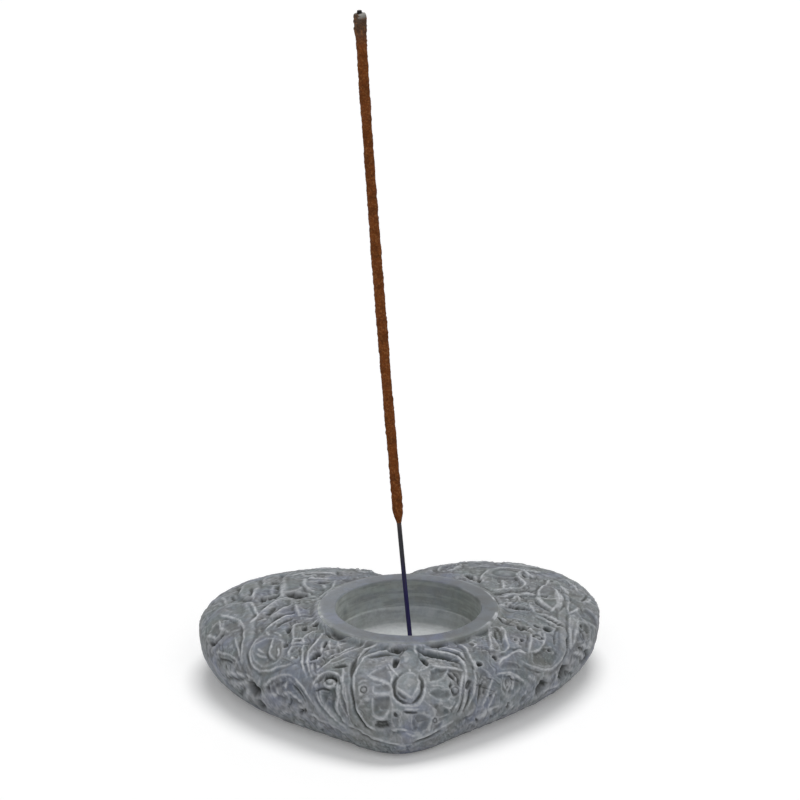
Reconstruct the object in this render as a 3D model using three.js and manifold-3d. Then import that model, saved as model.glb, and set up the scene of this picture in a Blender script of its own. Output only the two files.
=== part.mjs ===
// A heart-shaped incense holder carved from one block of grey soapstone. A turned cup with a raised rim is
// sunk into its top, and a bamboo incense stick leans in a small hole in the floor of the cup.
// Units are millimetres and +Z is up. The origin lies on the flat underside, where the heart's mid-plane
// (x = 0) meets the plane through the axis of the cup (y = 0). The tip of the heart points along -Y.
import * as THREE from "three";
import { mergeVertices } from "three/addons/utils/BufferGeometryUtils.js";
import Module from "manifold-3d";

const wasm = await Module();
wasm.setup();

const degrees = THREE.MathUtils.degToRad;
const FULL_TURN = 2 * Math.PI;
const TIP_DIRECTION = 1.5 * Math.PI;

// Stone: heights above the underside
const STONE_HEIGHT = 25.5; // underside to the top of the rim
const RIM_STEP = 0.9; // how far the rim stands above the carving round it
const SIDE_EDGE_HEIGHT = 14.0; // height of the widest line at the lobes
const TIP_EDGE_HEIGHT = 8.1; // height of the widest line at the tip

// Cup: two turned steps and a flat floor
const CUP_AXIS_X = 2.3; // the cup was turned a little to the right of the heart's mid-plane
const CUP_MOUTH_RADIUS = 20.2;
const RIM_WIDTH = 5.1;
const RIM_CHAMFER = 0.5;
const MOUTH_ROUND = 1.4;
const LEDGE_DEPTH = 8.0; // from the top of the rim to the step in the wall
const LEDGE_WIDTH = 0.6;
const CUP_DEPTH = 13.0; // from the top of the rim to the floor
const WALL_DRAFT = 0.5; // how much each length of wall narrows on its way down

// Heart outline, seen from above
const HEART_WIDTH = 114.2;
const HEART_DEPTH = 103.1; // tip to the back of the right lobe
const TIP_REACH = 50.1; // the cup's axis to where the sides would meet; the tip is rounded short of that
const TIP_X = -2.1;
const NOTCH_LAND = 4.2; // stone left between the rim and the notch
const NOTCH_X = -2.2;
const LEFT_SHOULDER = 29.6; // across from the widest point to the back of the lobe
const RIGHT_SHOULDER = 26.1;
const LOBE_STAGGER = 6.6; // the left lobe ends this much short of the right one
const LEFT_WIDEST_BACK = 33.4; // from the widest point to the back of the lobe
const RIGHT_WIDEST_BACK = 31.2;
const NOTCH_FLARE = degrees(28); // each side of the notch, measured from the mid-plane
const TIP_FLARE = degrees(66); // each side of the tip
const TIP_ROUNDING = degrees(20); // bearings over which the tip is rounded, each way
const SIDE_UNDERCUT = 10.7; // how far the underside draws in below the widest line
const TIP_UNDERCUT = 6.9;
const TIP_SPREAD = degrees(19); // how far round from the tip its lower edge reaches
const SHOULDER_POWER = 2.3; // how flat the top runs before it rounds over to the widest line

// Fullness of the outline's curves: the length of a curve's handle as a share of its reach
const NOTCH_HANDLE = 0.62; // out of the notch
const LOBE_HANDLE = 0.42; // into the back of a lobe
const SHOULDER_HANDLE = 0.5523; // round the shoulder, as on a quarter circle
const LEFT_SIDE_HANDLE = 0.37; // from the widest point towards the tip
const RIGHT_SIDE_HANDLE = 0.34;
const TIP_HANDLE = 0.42; // into the tip

// Carving: the ground between the motifs is sunk below the dressed surface, and the motifs stand up to it
const CARVING_DEPTH = 0.9; // near the rim
const BORDER_DEPTH_SHARE = 0.3; // share of that depth left where the carving meets the plain border
const THINNING_START = 2.0; // over this stretch above the widest line the ground comes up to that share
const THINNING_END = 14.0;
const PLAIN_BORDER = 1.5; // uncarved band above the widest line
const DRAWN_WIDTH = 114.2; // the carving is drawn for a heart of this width and depth, and stretches with it
const DRAWN_DEPTH = 103.1;
const MEDALLION_X = 0.4; // middle of the medallion on the drawing
const MEDALLION_Y = -43.6;
const MEDALLION_LENGTH = 28.5;
const MEDALLION_WIDTH = 24.5;
const MEDALLION_DEPTH = 0.5; // how far its field lies below the dressed surface
const PETAL_DEPTH = 0.7; // how far the petals are scooped into the field
const BUD_LENGTH = 9.4;
const BUD_WIDTH = 7.0;
const BAND_ROUNDING = 0.3; // drop from the crest of a band to the point half its width away
const BOSS_ROUNDING = 0.7; // drop from the top of a boss to its rim

// Stick: a bamboo core in a stick hole, coated with incense paste
const STICK_LEAN = degrees(5.5); // to the left, at the hole
const STICK_BEND = degrees(2.2); // the stick straightens up by this much towards its top
const STICK_LENGTH = 192.5;
const CORE_DIAMETER = 1.3;
const PASTE_DIAMETER = 3.0;
const PASTE_TOP_DIAMETER = 3.4;
const PASTE_START = 48.0; // along the stick, from its lower end
const PASTE_TAPER = 3.5;
const PASTE_FLARE = 8.0; // length of the thicker, scorched top
const CORE_STUB = 0.8; // bare core above the paste
const STICK_HOLE_DEPTH = 10.0;
const STICK_HOLE_OFFSET = 1.3; // the hole was drilled a little to the right of the cup's axis
const CLEARANCE = 0.3; // between the stick and its hole, and between the core and the paste

// Fineness of the faceted surfaces
const HEART_COLUMNS = 180;
const FRONT_CROWDING = 0.25; // the columns stand closer together over the front of the heart
const TOP_ROWS = 21;
const UNDER_ROWS = 4;
const CUP_SEGMENTS = 72;
const STICK_SIDES = 12;
const STICK_STATIONS = 26;

const rimRadius = CUP_MOUTH_RADIUS + RIM_WIDTH;
const tip = new THREE.Vector2(TIP_X, -TIP_REACH);
const rightBack = HEART_DEPTH - TIP_REACH;
const leftBack = rightBack - LOBE_STAGGER;
const leftWidest = new THREE.Vector2(-HEART_WIDTH / 2, leftBack - LEFT_WIDEST_BACK);
const leftLobe = new THREE.Vector2(leftWidest.x + LEFT_SHOULDER, leftBack);
const rightWidest = new THREE.Vector2(HEART_WIDTH / 2, rightBack - RIGHT_WIDEST_BACK);
const rightLobe = new THREE.Vector2(rightWidest.x - RIGHT_SHOULDER, rightBack);
const shoulderHeight = STONE_HEIGHT - RIM_STEP;
const cupFloorHeight = STONE_HEIGHT - CUP_DEPTH;

// A closed mesh as a solid that can be joined and cut.
function solidOf(geometry) {
  const bare = geometry.clone();
  bare.deleteAttribute("normal");
  bare.deleteAttribute("uv");
  const merged = mergeVertices(bare, 1e-4);
  return new wasm.Manifold(
    new wasm.Mesh({
      numProp: 3,
      vertProperties: merged.attributes.position.array,
      triVerts: new Uint32Array(merged.index.array),
    }),
  );
}

function geometryOf(solid) {
  const mesh = solid.getMesh();
  const geometry = new THREE.BufferGeometry();
  geometry.setAttribute("position", new THREE.BufferAttribute(mesh.vertProperties, 3));
  geometry.setIndex(new THREE.BufferAttribute(mesh.triVerts, 1));
  geometry.computeVertexNormals();
  return geometry;
}

// One side of the heart, from the notch over the back of the lobe and its widest point to the tip.
function outlineSide(back, widest, side, sideHandle) {
  const notch = new THREE.Vector2(NOTCH_X, rimRadius + NOTCH_LAND);
  const notchReach = NOTCH_HANDLE * back.distanceTo(notch);
  const tipReach = TIP_HANDLE * widest.distanceTo(tip);
  return [
    new THREE.CubicBezierCurve(
      notch,
      new THREE.Vector2(Math.sin(NOTCH_FLARE) * side, Math.cos(NOTCH_FLARE))
        .multiplyScalar(notchReach)
        .add(notch),
      new THREE.Vector2(back.x - LOBE_HANDLE * (back.x - notch.x), back.y),
      back,
    ),
    new THREE.CubicBezierCurve(
      back,
      new THREE.Vector2(back.x + SHOULDER_HANDLE * (widest.x - back.x), back.y),
      new THREE.Vector2(widest.x, widest.y + SHOULDER_HANDLE * (back.y - widest.y)),
      widest,
    ),
    new THREE.CubicBezierCurve(
      widest,
      new THREE.Vector2(widest.x, widest.y - sideHandle * (widest.y - tip.y)),
      new THREE.Vector2(Math.sin(TIP_FLARE) * side, Math.cos(TIP_FLARE)).multiplyScalar(tipReach).add(tip),
      tip,
    ),
  ];
}

// The outline before its tip is rounded, as radius against angle about the axis of the cup.
const sharpRadius = (() => {
  const samples = [];
  const sides = [
    outlineSide(leftLobe, leftWidest, -1, LEFT_SIDE_HANDLE),
    outlineSide(rightLobe, rightWidest, 1, RIGHT_SIDE_HANDLE),
  ];
  for (const curve of sides.flat()) {
    for (const p of curve.getPoints(200)) {
      const angle = Math.atan2(p.y, p.x - CUP_AXIS_X);
      samples.push({
        angle: (angle + FULL_TURN) % FULL_TURN,
        radius: Math.hypot(p.x - CUP_AXIS_X, p.y),
      });
    }
  }
  samples.sort((a, b) => a.angle - b.angle);
  return (angle) => {
    const wanted = ((angle % FULL_TURN) + FULL_TURN) % FULL_TURN;
    let next = samples.findIndex((s) => s.angle >= wanted);
    if (next < 0) next = 0;
    const after = samples[next];
    const before = samples[(next + samples.length - 1) % samples.length];
    const gap = (after.angle - before.angle + FULL_TURN) % FULL_TURN;
    const share = gap > 1e-9 ? ((wanted - before.angle + FULL_TURN) % FULL_TURN) / gap : 0;
    return before.radius + (after.radius - before.radius) * Math.min(share, 1);
  };
})();

function angleFromTip(angle) {
  return Math.atan2(Math.sin(angle - TIP_DIRECTION), Math.cos(angle - TIP_DIRECTION));
}

// The radius near the tip is a weighted mean over the neighbouring bearings, which rounds it.
function outlineRadius(angle) {
  const samples = 21;
  let total = 0;
  let mean = 0;
  for (let i = 0; i < samples; i++) {
    const offset = (2 * i) / (samples - 1) - 1;
    const weight = Math.cos((offset * Math.PI) / 2) ** 2;
    total += weight;
    mean += weight * sharpRadius(angle + offset * TIP_ROUNDING);
  }
  const share = Math.exp(-((angleFromTip(angle) / (2 * TIP_ROUNDING)) ** 2));
  return THREE.MathUtils.lerp(sharpRadius(angle), mean / total, share);
}

// The section of the stone from the rim to the underside along one direction, as points of radius and height.
function sectionAt(angle) {
  const radius = outlineRadius(angle);
  const fromTip = angleFromTip(angle);
  const tipShare = Math.exp(-((fromTip / TIP_SPREAD) ** 2));
  const edge = THREE.MathUtils.lerp(SIDE_EDGE_HEIGHT, TIP_EDGE_HEIGHT, tipShare);
  const undercut = THREE.MathUtils.lerp(SIDE_UNDERCUT, TIP_UNDERCUT, tipShare);
  const top = (t) => [
    THREE.MathUtils.lerp(rimRadius, radius, t),
    edge + (shoulderHeight - edge) * Math.sqrt(1 - t ** SHOULDER_POWER),
  ];
  const under = (t) => [
    radius - undercut * (1 - Math.cos((t * Math.PI) / 2)),
    edge * (1 - Math.sin((t * Math.PI) / 2)),
  ];
  return { top, under };
}

// A curve of radius and height cut into rows of equal length. Each row also says how far along it lies.
function equalRows(curve, rows, startLength) {
  const fine = 200;
  const points = Array.from({ length: fine + 1 }, (_, i) => curve(i / fine));
  const lengths = [0];
  for (let i = 1; i <= fine; i++) {
    const step = Math.hypot(points[i][0] - points[i - 1][0], points[i][1] - points[i - 1][1]);
    lengths.push(lengths[i - 1] + step);
  }
  return Array.from({ length: rows + 1 }, (_, row) => {
    const wanted = (lengths[fine] * row) / rows;
    const i = Math.max(1, lengths.findIndex((l) => l >= wanted - 1e-9));
    const share = (wanted - lengths[i - 1]) / (lengths[i] - lengths[i - 1]);
    return {
      radius: THREE.MathUtils.lerp(points[i - 1][0], points[i][0], share),
      height: THREE.MathUtils.lerp(points[i - 1][1], points[i][1], share),
      length: startLength + wanted,
    };
  });
}

const clamp01 = (x) => Math.min(Math.max(x, 0), 1);
const smooth = (from, to, x) => {
  const t = clamp01((x - from) / (to - from));
  return t * t * (3 - 2 * t);
};

// The carving is drawn on the dressed surface laid flat: a point lies on its bearing about the cup's axis, as
// far out as the way over the surface is long. A sheet with x to the right and y to the back.

// Fields and leaves that stand above the ground: x, y, length, width, direction in degrees, and depth
const FIELDS = [
  [MEDALLION_X, MEDALLION_Y, MEDALLION_LENGTH, MEDALLION_WIDTH, 0, MEDALLION_DEPTH],
  [-39, -20, 16, 10.5, 98, 0.55],
  [-38, -36.8, 17, 11, -42, 0.45],
  [-47, -33.8, 11, 7.5, -8, 0.3],
  [-23, -45.5, 15, 9, 112, 0.3],
  [39.5, -17, 16, 11, 52, 0.5],
  [33, -33, 17.5, 12, 20, 0.4],
  [27, -43.5, 15, 9, 50, 0.4],
  [28.2, 30.4, 13, 10, 15, 0.3],
  [40.3, 12.5, 20, 8, 88, 0.45],
  [-32.5, 24.5, 21, 7, 92, 0.35],
];

// Stems and bands: depth of the crest, half of the width, and points along the middle
const BANDS = [
  [0.1, 1.9, [-16.6, -34], [-16.9, -39], [-17.2, -43], [-16.6, -47.5], [-15.3, -51], [-12.5, -54.4]],
  [0.2, 2.5, [-12.5, -54.4], [-8.5, -57], [-3.5, -58.6], [1, -57.8], [5.5, -56.2]],
  [0.1, 1.9, [15.6, -33], [17.3, -37], [18, -41], [17.4, -45], [15.5, -48.2], [12, -51.8], [5.5, -56.2]],
  [0.1, 1.3, [1.3, -25.6], [1.3, -28.5], [1.2, -31]],
  [0.15, 1.6, [-46.6, -20], [-45.6, -24.6], [-43, -27.8], [-39.5, -29.1], [-35.5, -30], [-32, -31.2]],
  [0.1, 1.9, [-32, -31.2], [-29.8, -34.5], [-28.4, -38.5], [-28, -43]],
  [0.1, 1.9, [-28, -43], [-26.6, -47.8], [-23.6, -52], [-18, -56.5]],
  [0.1, 1.7, [-45, 9], [-44.6, 3], [-44.6, -3], [-44.5, -9], [-45.6, -15], [-46.6, -20]],
  [0.1, 1.6, [44.4, 17], [44.2, 10], [43.9, 3], [44.2, -4], [45.5, -9.5], [46.3, -14], [44.2, -19.6]],
  [0.1, 1.5, [44.2, -19.6], [40.5, -23], [36.5, -24.6], [33, -25.2]],
  [0.0, 1.2, [25.8, -10.2], [26.7, -15], [27.7, -20.8], [25.6, -24.5]],
  [0.1, 1.2, [-23.6, -15.2], [-25.2, -21], [-27.7, -28.4], [-26.7, -35.4]],
  [0.1, 1.1, [-29.2, 25], [-29, 18.6], [-26.6, 14.6]],
  [0.1, 1.1, [-36.2, 22], [-35.4, 12.9], [-38.8, 6.2], [-41.2, 1.6]],
  [0.1, 1.1, [31.3, 28], [33.2, 22.8], [31.7, 18.4]],
  [0.1, 1.1, [41.8, 20.5], [42.8, 12.4], [40.7, 4.6]],
];

// Rounded bosses: x, y, length, width, direction in degrees, and depth of the top
const BOSSES = [
  [1.1, -32.8, 6.6, 5.2, 90, 0.0],
  [MEDALLION_X - 0.2, MEDALLION_Y + 1.1, BUD_LENGTH, BUD_WIDTH, 90, 0.05],
  [28, 29.6, 8.5, 7, 15, 0.05],
];

// Petals, scooped leaves and pits: x, y, length, width, direction in degrees, and depth of the cut
const SCOOPS = [
  [-7.2, -38.3, 7.4, 5.2, 152, PETAL_DEPTH],
  [-7.6, -43.2, 5.6, 3, 178, PETAL_DEPTH],
  [-7.5, -47.9, 6.6, 5.4, 205, PETAL_DEPTH],
  [4, -52.4, 6.4, 5, 98, PETAL_DEPTH],
  [9, -43.5, 6.4, 3.4, 6, PETAL_DEPTH],
  [8.2, -37.5, 7, 5, 40, PETAL_DEPTH],
  [-2.9, -33.3, 5.6, 2.8, 80, 1.7],
  [4.3, -32.6, 5.6, 2.8, 108, 1.7],
  [-3.6, -27.3, 5.6, 3, 8, 1.6],
  [7.6, -29.6, 11, 2.8, -22, 1.5],
  [-25.3, -27.6, 5.4, 2.8, 48, 1.8],
  [-19.6, -18.2, 9, 2.4, -48, 1.4],
  [-49.6, -26.8, 8, 3.4, 172, 2.4],
  [-54.8, -30.2, 7, 3, 166, 2.5],
  [-31.4, 12.8, 9, 4.4, -6, 2.1],
  [-39.8, 12.4, 6, 3.8, 60, 1.7],
  [-25.6, 28, 6.8, 3.2, 4, 1.8],
  [-30.6, 34.4, 7.6, 4.8, -30, 2],
  [-24.6, 33.4, 8.4, 3.4, 0, 1.8],
  [-24.4, 22.6, 6, 2.4, 0, 1.5],
  [-38.2, 25, 5.6, 3, -62, 1.5],
  [-34.8, -2.2, 9, 2.4, 36, 1.9],
  [29.6, 15.4, 13.5, 2.8, 20, 2],
  [30.6, 3.7, 10, 3.6, -4, 1.6],
  [17.6, 27.4, 5.4, 3.2, 105, 1.6],
  [39.6, 18.4, 9, 4.6, 92, 0.5],
  [46.4, -24.4, 6.8, 4.6, 12, 2.5],
  [52.4, -12.6, 10, 3.6, 34, 2.5],
  [39.3, -6.4, 4.2, 2.8, 20, 1.5],
  [31.6, -9.6, 5.6, 4.2, -8, 1.1],
  [39.4, -17.6, 10, 4.4, 50, 0.5],
];

const bandLines = BANDS.map(([depth, halfWidth, ...points]) => {
  const curve = new THREE.SplineCurve(points.map(([x, y]) => new THREE.Vector2(x, y)));
  return { depth, halfWidth, line: curve.getPoints(8 * points.length) };
});

// How far a point lies from the middle of an oval, as a share of the way to its edge.
function ovalShare(point, [x, y, length, width, direction]) {
  const turn = degrees(direction);
  const along = (point.x - x) * Math.cos(turn) + (point.y - y) * Math.sin(turn);
  const across = (point.y - y) * Math.cos(turn) - (point.x - x) * Math.sin(turn);
  return Math.hypot(along / (length / 2), across / (width / 2));
}

// Depth of the carving below the dressed surface at a point of the drawing where the ground has a given depth.
function drawnDepth(point, ground) {
  let depth = ground;
  const blend = (wanted, share) => {
    depth = THREE.MathUtils.lerp(depth, wanted, share);
  };
  for (const field of FIELDS) {
    blend(Math.min(depth, field[5]), 1 - smooth(0.85, 1.15, ovalShare(point, field)));
  }
  for (const band of bandLines) {
    const share = Math.min(...band.line.map((p) => p.distanceTo(point))) / band.halfWidth;
    blend(Math.min(depth, band.depth + BAND_ROUNDING * share * share), 1 - smooth(0.8, 1.4, share));
  }
  for (const boss of BOSSES) {
    const share = ovalShare(point, boss);
    blend(boss[5] + BOSS_ROUNDING * share * share, 1 - smooth(0.85, 1.1, share));
  }
  for (const scoop of SCOOPS) depth += scoop[5] * (1 - smooth(0.3, 1.03, ovalShare(point, scoop)));
  return depth;
}

// How far a point is sunk. The carving fades out at the plain border above the widest line.
function carvedDepth(angle, row, topLength) {
  const point = new THREE.Vector2(
    (row.length * Math.cos(angle) * DRAWN_WIDTH) / HEART_WIDTH,
    (row.length * Math.sin(angle) * DRAWN_DEPTH) / HEART_DEPTH,
  );
  const inField = 1 - smooth(topLength - PLAIN_BORDER, topLength - PLAIN_BORDER / 3, row.length);
  const thinning = smooth(THINNING_START, THINNING_END, topLength - row.length);
  const ground = CARVING_DEPTH * THREE.MathUtils.lerp(BORDER_DEPTH_SHARE, 1, thinning);
  return inField * drawnDepth(point, ground);
}

// The block before the cup is turned out: a flat disc at rim height, the rim's outer wall, the carved top,
// the rounded underside and the flat base, all as rings of points about the axis of the cup.
function carvedBlock() {
  const columns = Array.from({ length: HEART_COLUMNS }, (_, i) => {
    const even = (FULL_TURN * i) / HEART_COLUMNS;
    return even - FRONT_CROWDING * Math.cos(even);
  });
  const chamfer = [
    { radius: rimRadius - RIM_CHAMFER, height: STONE_HEIGHT, depth: 0 },
    { radius: rimRadius, height: STONE_HEIGHT - RIM_CHAMFER, depth: 0 },
  ];
  const rings = columns.map((angle) => {
    const section = sectionAt(angle);
    const top = equalRows(section.top, TOP_ROWS, rimRadius);
    const topLength = top[TOP_ROWS].length;
    const under = equalRows(section.under, UNDER_ROWS, topLength).slice(1);
    for (const row of top) row.depth = carvedDepth(angle, row, topLength);
    for (const row of under) row.depth = 0;
    return [...chamfer, ...top, ...under];
  });
  const rows = rings[0].length;
  const positions = [];
  columns.forEach((angle, i) => {
    for (const row of rings[i]) {
      positions.push(CUP_AXIS_X + row.radius * Math.cos(angle), row.radius * Math.sin(angle), row.height);
    }
  });
  const index = [];
  const at = (column, row) => (column % HEART_COLUMNS) * rows + row;
  for (let i = 0; i < HEART_COLUMNS; i++) {
    for (let j = 0; j < rows - 1; j++) {
      index.push(at(i, j), at(i, j + 1), at(i + 1, j + 1));
      index.push(at(i, j), at(i + 1, j + 1), at(i + 1, j));
    }
  }
  const topCentre = positions.length / 3;
  positions.push(CUP_AXIS_X, 0, STONE_HEIGHT);
  const baseCentre = topCentre + 1;
  positions.push(CUP_AXIS_X, 0, 0);
  for (let i = 0; i < HEART_COLUMNS; i++) {
    index.push(topCentre, at(i, 0), at(i + 1, 0));
    index.push(baseCentre, at(i + 1, rows - 1), at(i, rows - 1));
  }
  const geometry = new THREE.BufferGeometry();
  geometry.setAttribute("position", new THREE.Float32BufferAttribute(positions, 3));
  geometry.setIndex(index);
  geometry.computeVertexNormals();
  const position = geometry.attributes.position;
  const normal = geometry.attributes.normal;
  columns.forEach((angle, i) => {
    rings[i].forEach((row, j) => {
      const k = at(i, j);
      position.setXYZ(
        k,
        position.getX(k) - normal.getX(k) * row.depth,
        position.getY(k) - normal.getY(k) * row.depth,
        position.getZ(k) - normal.getZ(k) * row.depth,
      );
    });
  });
  return geometry;
}

// A solid turned about a vertical axis at x, from points of radius and height that start and end on the axis.
function turned(points, segments, x) {
  const profile = points.map(([radius, height]) => new THREE.Vector2(radius, height));
  return new THREE.LatheGeometry(profile, segments).rotateX(Math.PI / 2).translate(x, 0, 0);
}

// What is turned out of the block: a rounded mouth, a wall with a step in it, and a flat floor.
function cupCutter() {
  const ledgeHeight = STONE_HEIGHT - LEDGE_DEPTH;
  const ledgeOuter = CUP_MOUTH_RADIUS - WALL_DRAFT;
  const lowerWall = ledgeOuter - LEDGE_WIDTH;
  const mouth = [];
  const steps = 4;
  for (let i = 0; i <= steps; i++) {
    const turn = ((Math.PI / 2) * i) / steps;
    mouth.push([
      CUP_MOUTH_RADIUS + MOUTH_ROUND * (1 - Math.sin(turn)),
      STONE_HEIGHT - MOUTH_ROUND * (1 - Math.cos(turn)),
    ]);
  }
  return turned(
    [
      [0, cupFloorHeight],
      [lowerWall - WALL_DRAFT, cupFloorHeight],
      [lowerWall, ledgeHeight],
      [ledgeOuter, ledgeHeight],
      ...mouth.reverse(),
      [CUP_MOUTH_RADIUS + MOUTH_ROUND, STONE_HEIGHT + MOUTH_ROUND],
      [0, STONE_HEIGHT + MOUTH_ROUND],
    ],
    CUP_SEGMENTS,
    CUP_AXIS_X,
  );
}

// The line that the stick follows: a very slight arc in the plane y = 0, leaning to the left. It starts at
// the stick's lower end, which stands on the bottom of its hole and leans from the hole's right side at the
// bottom to its left side at the floor of the cup.
const coreRadius = CORE_DIAMETER / 2;
const stickHoleRadius =
  coreRadius / Math.cos(STICK_LEAN) + CLEARANCE + (Math.tan(STICK_LEAN) * STICK_HOLE_DEPTH) / 2;
const stickHoleX = CUP_AXIS_X + STICK_HOLE_OFFSET;
const stickFoot = new THREE.Vector3(
  stickHoleX + (Math.tan(STICK_LEAN) * STICK_HOLE_DEPTH) / 2,
  0,
  cupFloorHeight - STICK_HOLE_DEPTH + CLEARANCE + coreRadius * Math.sin(STICK_LEAN),
);

function stickPoint(length) {
  const curvature = STICK_BEND / STICK_LENGTH;
  const lean = STICK_LEAN - curvature * length;
  return {
    centre: new THREE.Vector3(
      stickFoot.x - (Math.cos(lean) - Math.cos(STICK_LEAN)) / curvature,
      0,
      stickFoot.z + (Math.sin(STICK_LEAN) - Math.sin(lean)) / curvature,
    ),
    side: new THREE.Vector3(Math.cos(lean), 0, Math.sin(lean)),
  };
}

// A round solid about the stick's line, from pairs of length along the stick and radius. Pairs that start
// and end on the line make a rod; other pairs close on themselves and make a sleeve.
function roundStickSolid(pairs) {
  const forward = new THREE.Vector3(0, 1, 0);
  const positions = [];
  const rings = pairs.map(([length, radius]) => {
    const { centre, side } = stickPoint(length);
    const first = positions.length / 3;
    const count = radius > 0 ? STICK_SIDES : 1;
    for (let i = 0; i < count; i++) {
      const turn = (FULL_TURN * i) / STICK_SIDES;
      const p = centre.clone();
      p.addScaledVector(side, radius * Math.cos(turn)).addScaledVector(forward, radius * Math.sin(turn));
      positions.push(p.x, p.y, p.z);
    }
    return { first, count };
  });
  const isSleeve = pairs[0][1] > 0;
  const index = [];
  rings.forEach((lower, r) => {
    if (!isSleeve && r === rings.length - 1) return;
    const upper = rings[(r + 1) % rings.length];
    for (let i = 0; i < STICK_SIDES; i++) {
      const j = (i + 1) % STICK_SIDES;
      const [a, b] = [lower.first + (i % lower.count), lower.first + (j % lower.count)];
      const [c, d] = [upper.first + (j % upper.count), upper.first + (i % upper.count)];
      if (a !== b) index.push(a, b, c);
      if (c !== d) index.push(a, c, d);
    }
  });
  const geometry = new THREE.BufferGeometry();
  geometry.setAttribute("position", new THREE.Float32BufferAttribute(positions, 3));
  geometry.setIndex(index);
  geometry.computeVertexNormals();
  return geometry;
}

function evenly(from, to, steps, radiusAt) {
  return Array.from({ length: steps + 1 }, (_, i) => {
    const length = THREE.MathUtils.lerp(from, to, i / steps);
    return [length, radiusAt(length)];
  });
}

function stoneHeart() {
  const hole = turned(
    [
      [0, cupFloorHeight - STICK_HOLE_DEPTH],
      [stickHoleRadius, cupFloorHeight - STICK_HOLE_DEPTH],
      [stickHoleRadius, cupFloorHeight + CLEARANCE],
      [0, cupFloorHeight + CLEARANCE],
    ],
    STICK_SIDES * 2,
    stickHoleX,
  );
  const solid = solidOf(carvedBlock()).subtract(solidOf(cupCutter())).subtract(solidOf(hole));
  return geometryOf(solid);
}

function bambooCore() {
  return roundStickSolid([
    [0, 0],
    ...evenly(0, STICK_LENGTH, STICK_STATIONS, () => coreRadius),
    [STICK_LENGTH, 0],
  ]);
}

function incensePaste() {
  const end = STICK_LENGTH - CORE_STUB;
  const bore = coreRadius + CLEARANCE;
  const lip = bore + (PASTE_DIAMETER / 2 - bore) * 0.4;
  const radiusAt = (length) => {
    const full = THREE.MathUtils.lerp(
      PASTE_DIAMETER,
      PASTE_TOP_DIAMETER,
      smooth(end - PASTE_FLARE, end - PASTE_FLARE / 2, length),
    );
    return THREE.MathUtils.lerp(lip, full / 2, smooth(PASTE_START, PASTE_START + PASTE_TAPER, length));
  };
  const taperSteps = 4;
  return roundStickSolid([
    ...evenly(PASTE_START, PASTE_START + PASTE_TAPER, taperSteps, radiusAt),
    ...evenly(PASTE_START + PASTE_TAPER, end, STICK_STATIONS, radiusAt).slice(1),
    ...evenly(end, PASTE_START, STICK_STATIONS, () => bore),
  ]);
}

function piece(name, geometry, material) {
  const mesh = new THREE.Mesh(geometry, new THREE.MeshStandardMaterial(material));
  mesh.name = name;
  return mesh;
}

const incenseHolder = new THREE.Group();
incenseHolder.add(
  piece("stone_heart", stoneHeart(), { color: 0x737a80, roughness: 0.85, metalness: 0 }),
);
const stick = new THREE.Group();
stick.add(
  piece("bamboo_core", bambooCore(), { color: 0x3a3560, roughness: 0.7, metalness: 0 }),
  piece("incense_paste", incensePaste(), { color: 0x6a3818, roughness: 1, metalness: 0 }),
);
incenseHolder.add(stick);

export default incenseHolder;
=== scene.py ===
"""A heart-shaped incense holder carved from grey soapstone, with an incense stick in its cup.

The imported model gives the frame. The stone, the bamboo core and the paste are made here again as fine
surfaces and take the place of their plain solids. Shapes are worked out in millimetres and put into the
meshes in metres.
"""

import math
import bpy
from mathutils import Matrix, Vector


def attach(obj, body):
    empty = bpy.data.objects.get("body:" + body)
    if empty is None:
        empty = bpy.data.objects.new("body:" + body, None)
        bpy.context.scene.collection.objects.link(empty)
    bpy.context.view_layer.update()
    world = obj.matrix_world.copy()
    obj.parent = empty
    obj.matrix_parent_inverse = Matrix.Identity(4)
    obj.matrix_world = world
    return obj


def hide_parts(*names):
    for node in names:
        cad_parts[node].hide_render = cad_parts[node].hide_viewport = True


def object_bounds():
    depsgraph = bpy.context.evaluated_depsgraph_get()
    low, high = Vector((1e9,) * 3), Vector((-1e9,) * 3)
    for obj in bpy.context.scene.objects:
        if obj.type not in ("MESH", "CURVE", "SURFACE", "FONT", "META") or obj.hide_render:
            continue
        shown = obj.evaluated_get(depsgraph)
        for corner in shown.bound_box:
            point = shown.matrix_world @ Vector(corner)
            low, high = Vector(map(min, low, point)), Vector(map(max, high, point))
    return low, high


bl_info = {
    "name": "Soapstone Incense Holder",
    "version": (1, 0, 0),
    "blender": (4, 5, 0),
    "location": "View3D > Sidebar > Incense Holder",
    "description": "Builds a carved soapstone incense holder and its stick as fine meshes",
    "category": "Add Mesh",
}

import bpy
import numpy as np
from bpy.props import FloatProperty, FloatVectorProperty, PointerProperty
from mathutils import Vector

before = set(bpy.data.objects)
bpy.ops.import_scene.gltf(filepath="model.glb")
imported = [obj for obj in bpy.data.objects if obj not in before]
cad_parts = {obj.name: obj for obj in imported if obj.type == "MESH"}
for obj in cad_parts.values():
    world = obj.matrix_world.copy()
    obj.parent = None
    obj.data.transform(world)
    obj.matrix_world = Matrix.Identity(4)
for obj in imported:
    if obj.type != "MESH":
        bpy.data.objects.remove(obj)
CAD_LOW, CAD_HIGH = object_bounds()

MM = 0.001
TURN = 2 * math.pi
TIP = -math.pi / 2  # bearing of the heart's tip from the axis of the cup


def length(name, description, millimetres, low=0.0):
    """A length property, given in millimetres and kept in metres."""
    return FloatProperty(
        name=name, description=description, default=millimetres * MM, min=low * MM, unit="LENGTH", precision=5
    )


def angle(name, description, degrees):
    """An angle property, given in degrees."""
    return FloatProperty(name=name, description=description, default=math.radians(degrees), subtype="ANGLE")


def colour(name, description, rgb):
    """An opaque colour property in linear red, green and blue."""
    return FloatVectorProperty(
        name=name, description=description, default=(*rgb, 1.0), size=4, min=0.0, max=1.0, subtype="COLOR"
    )


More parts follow.
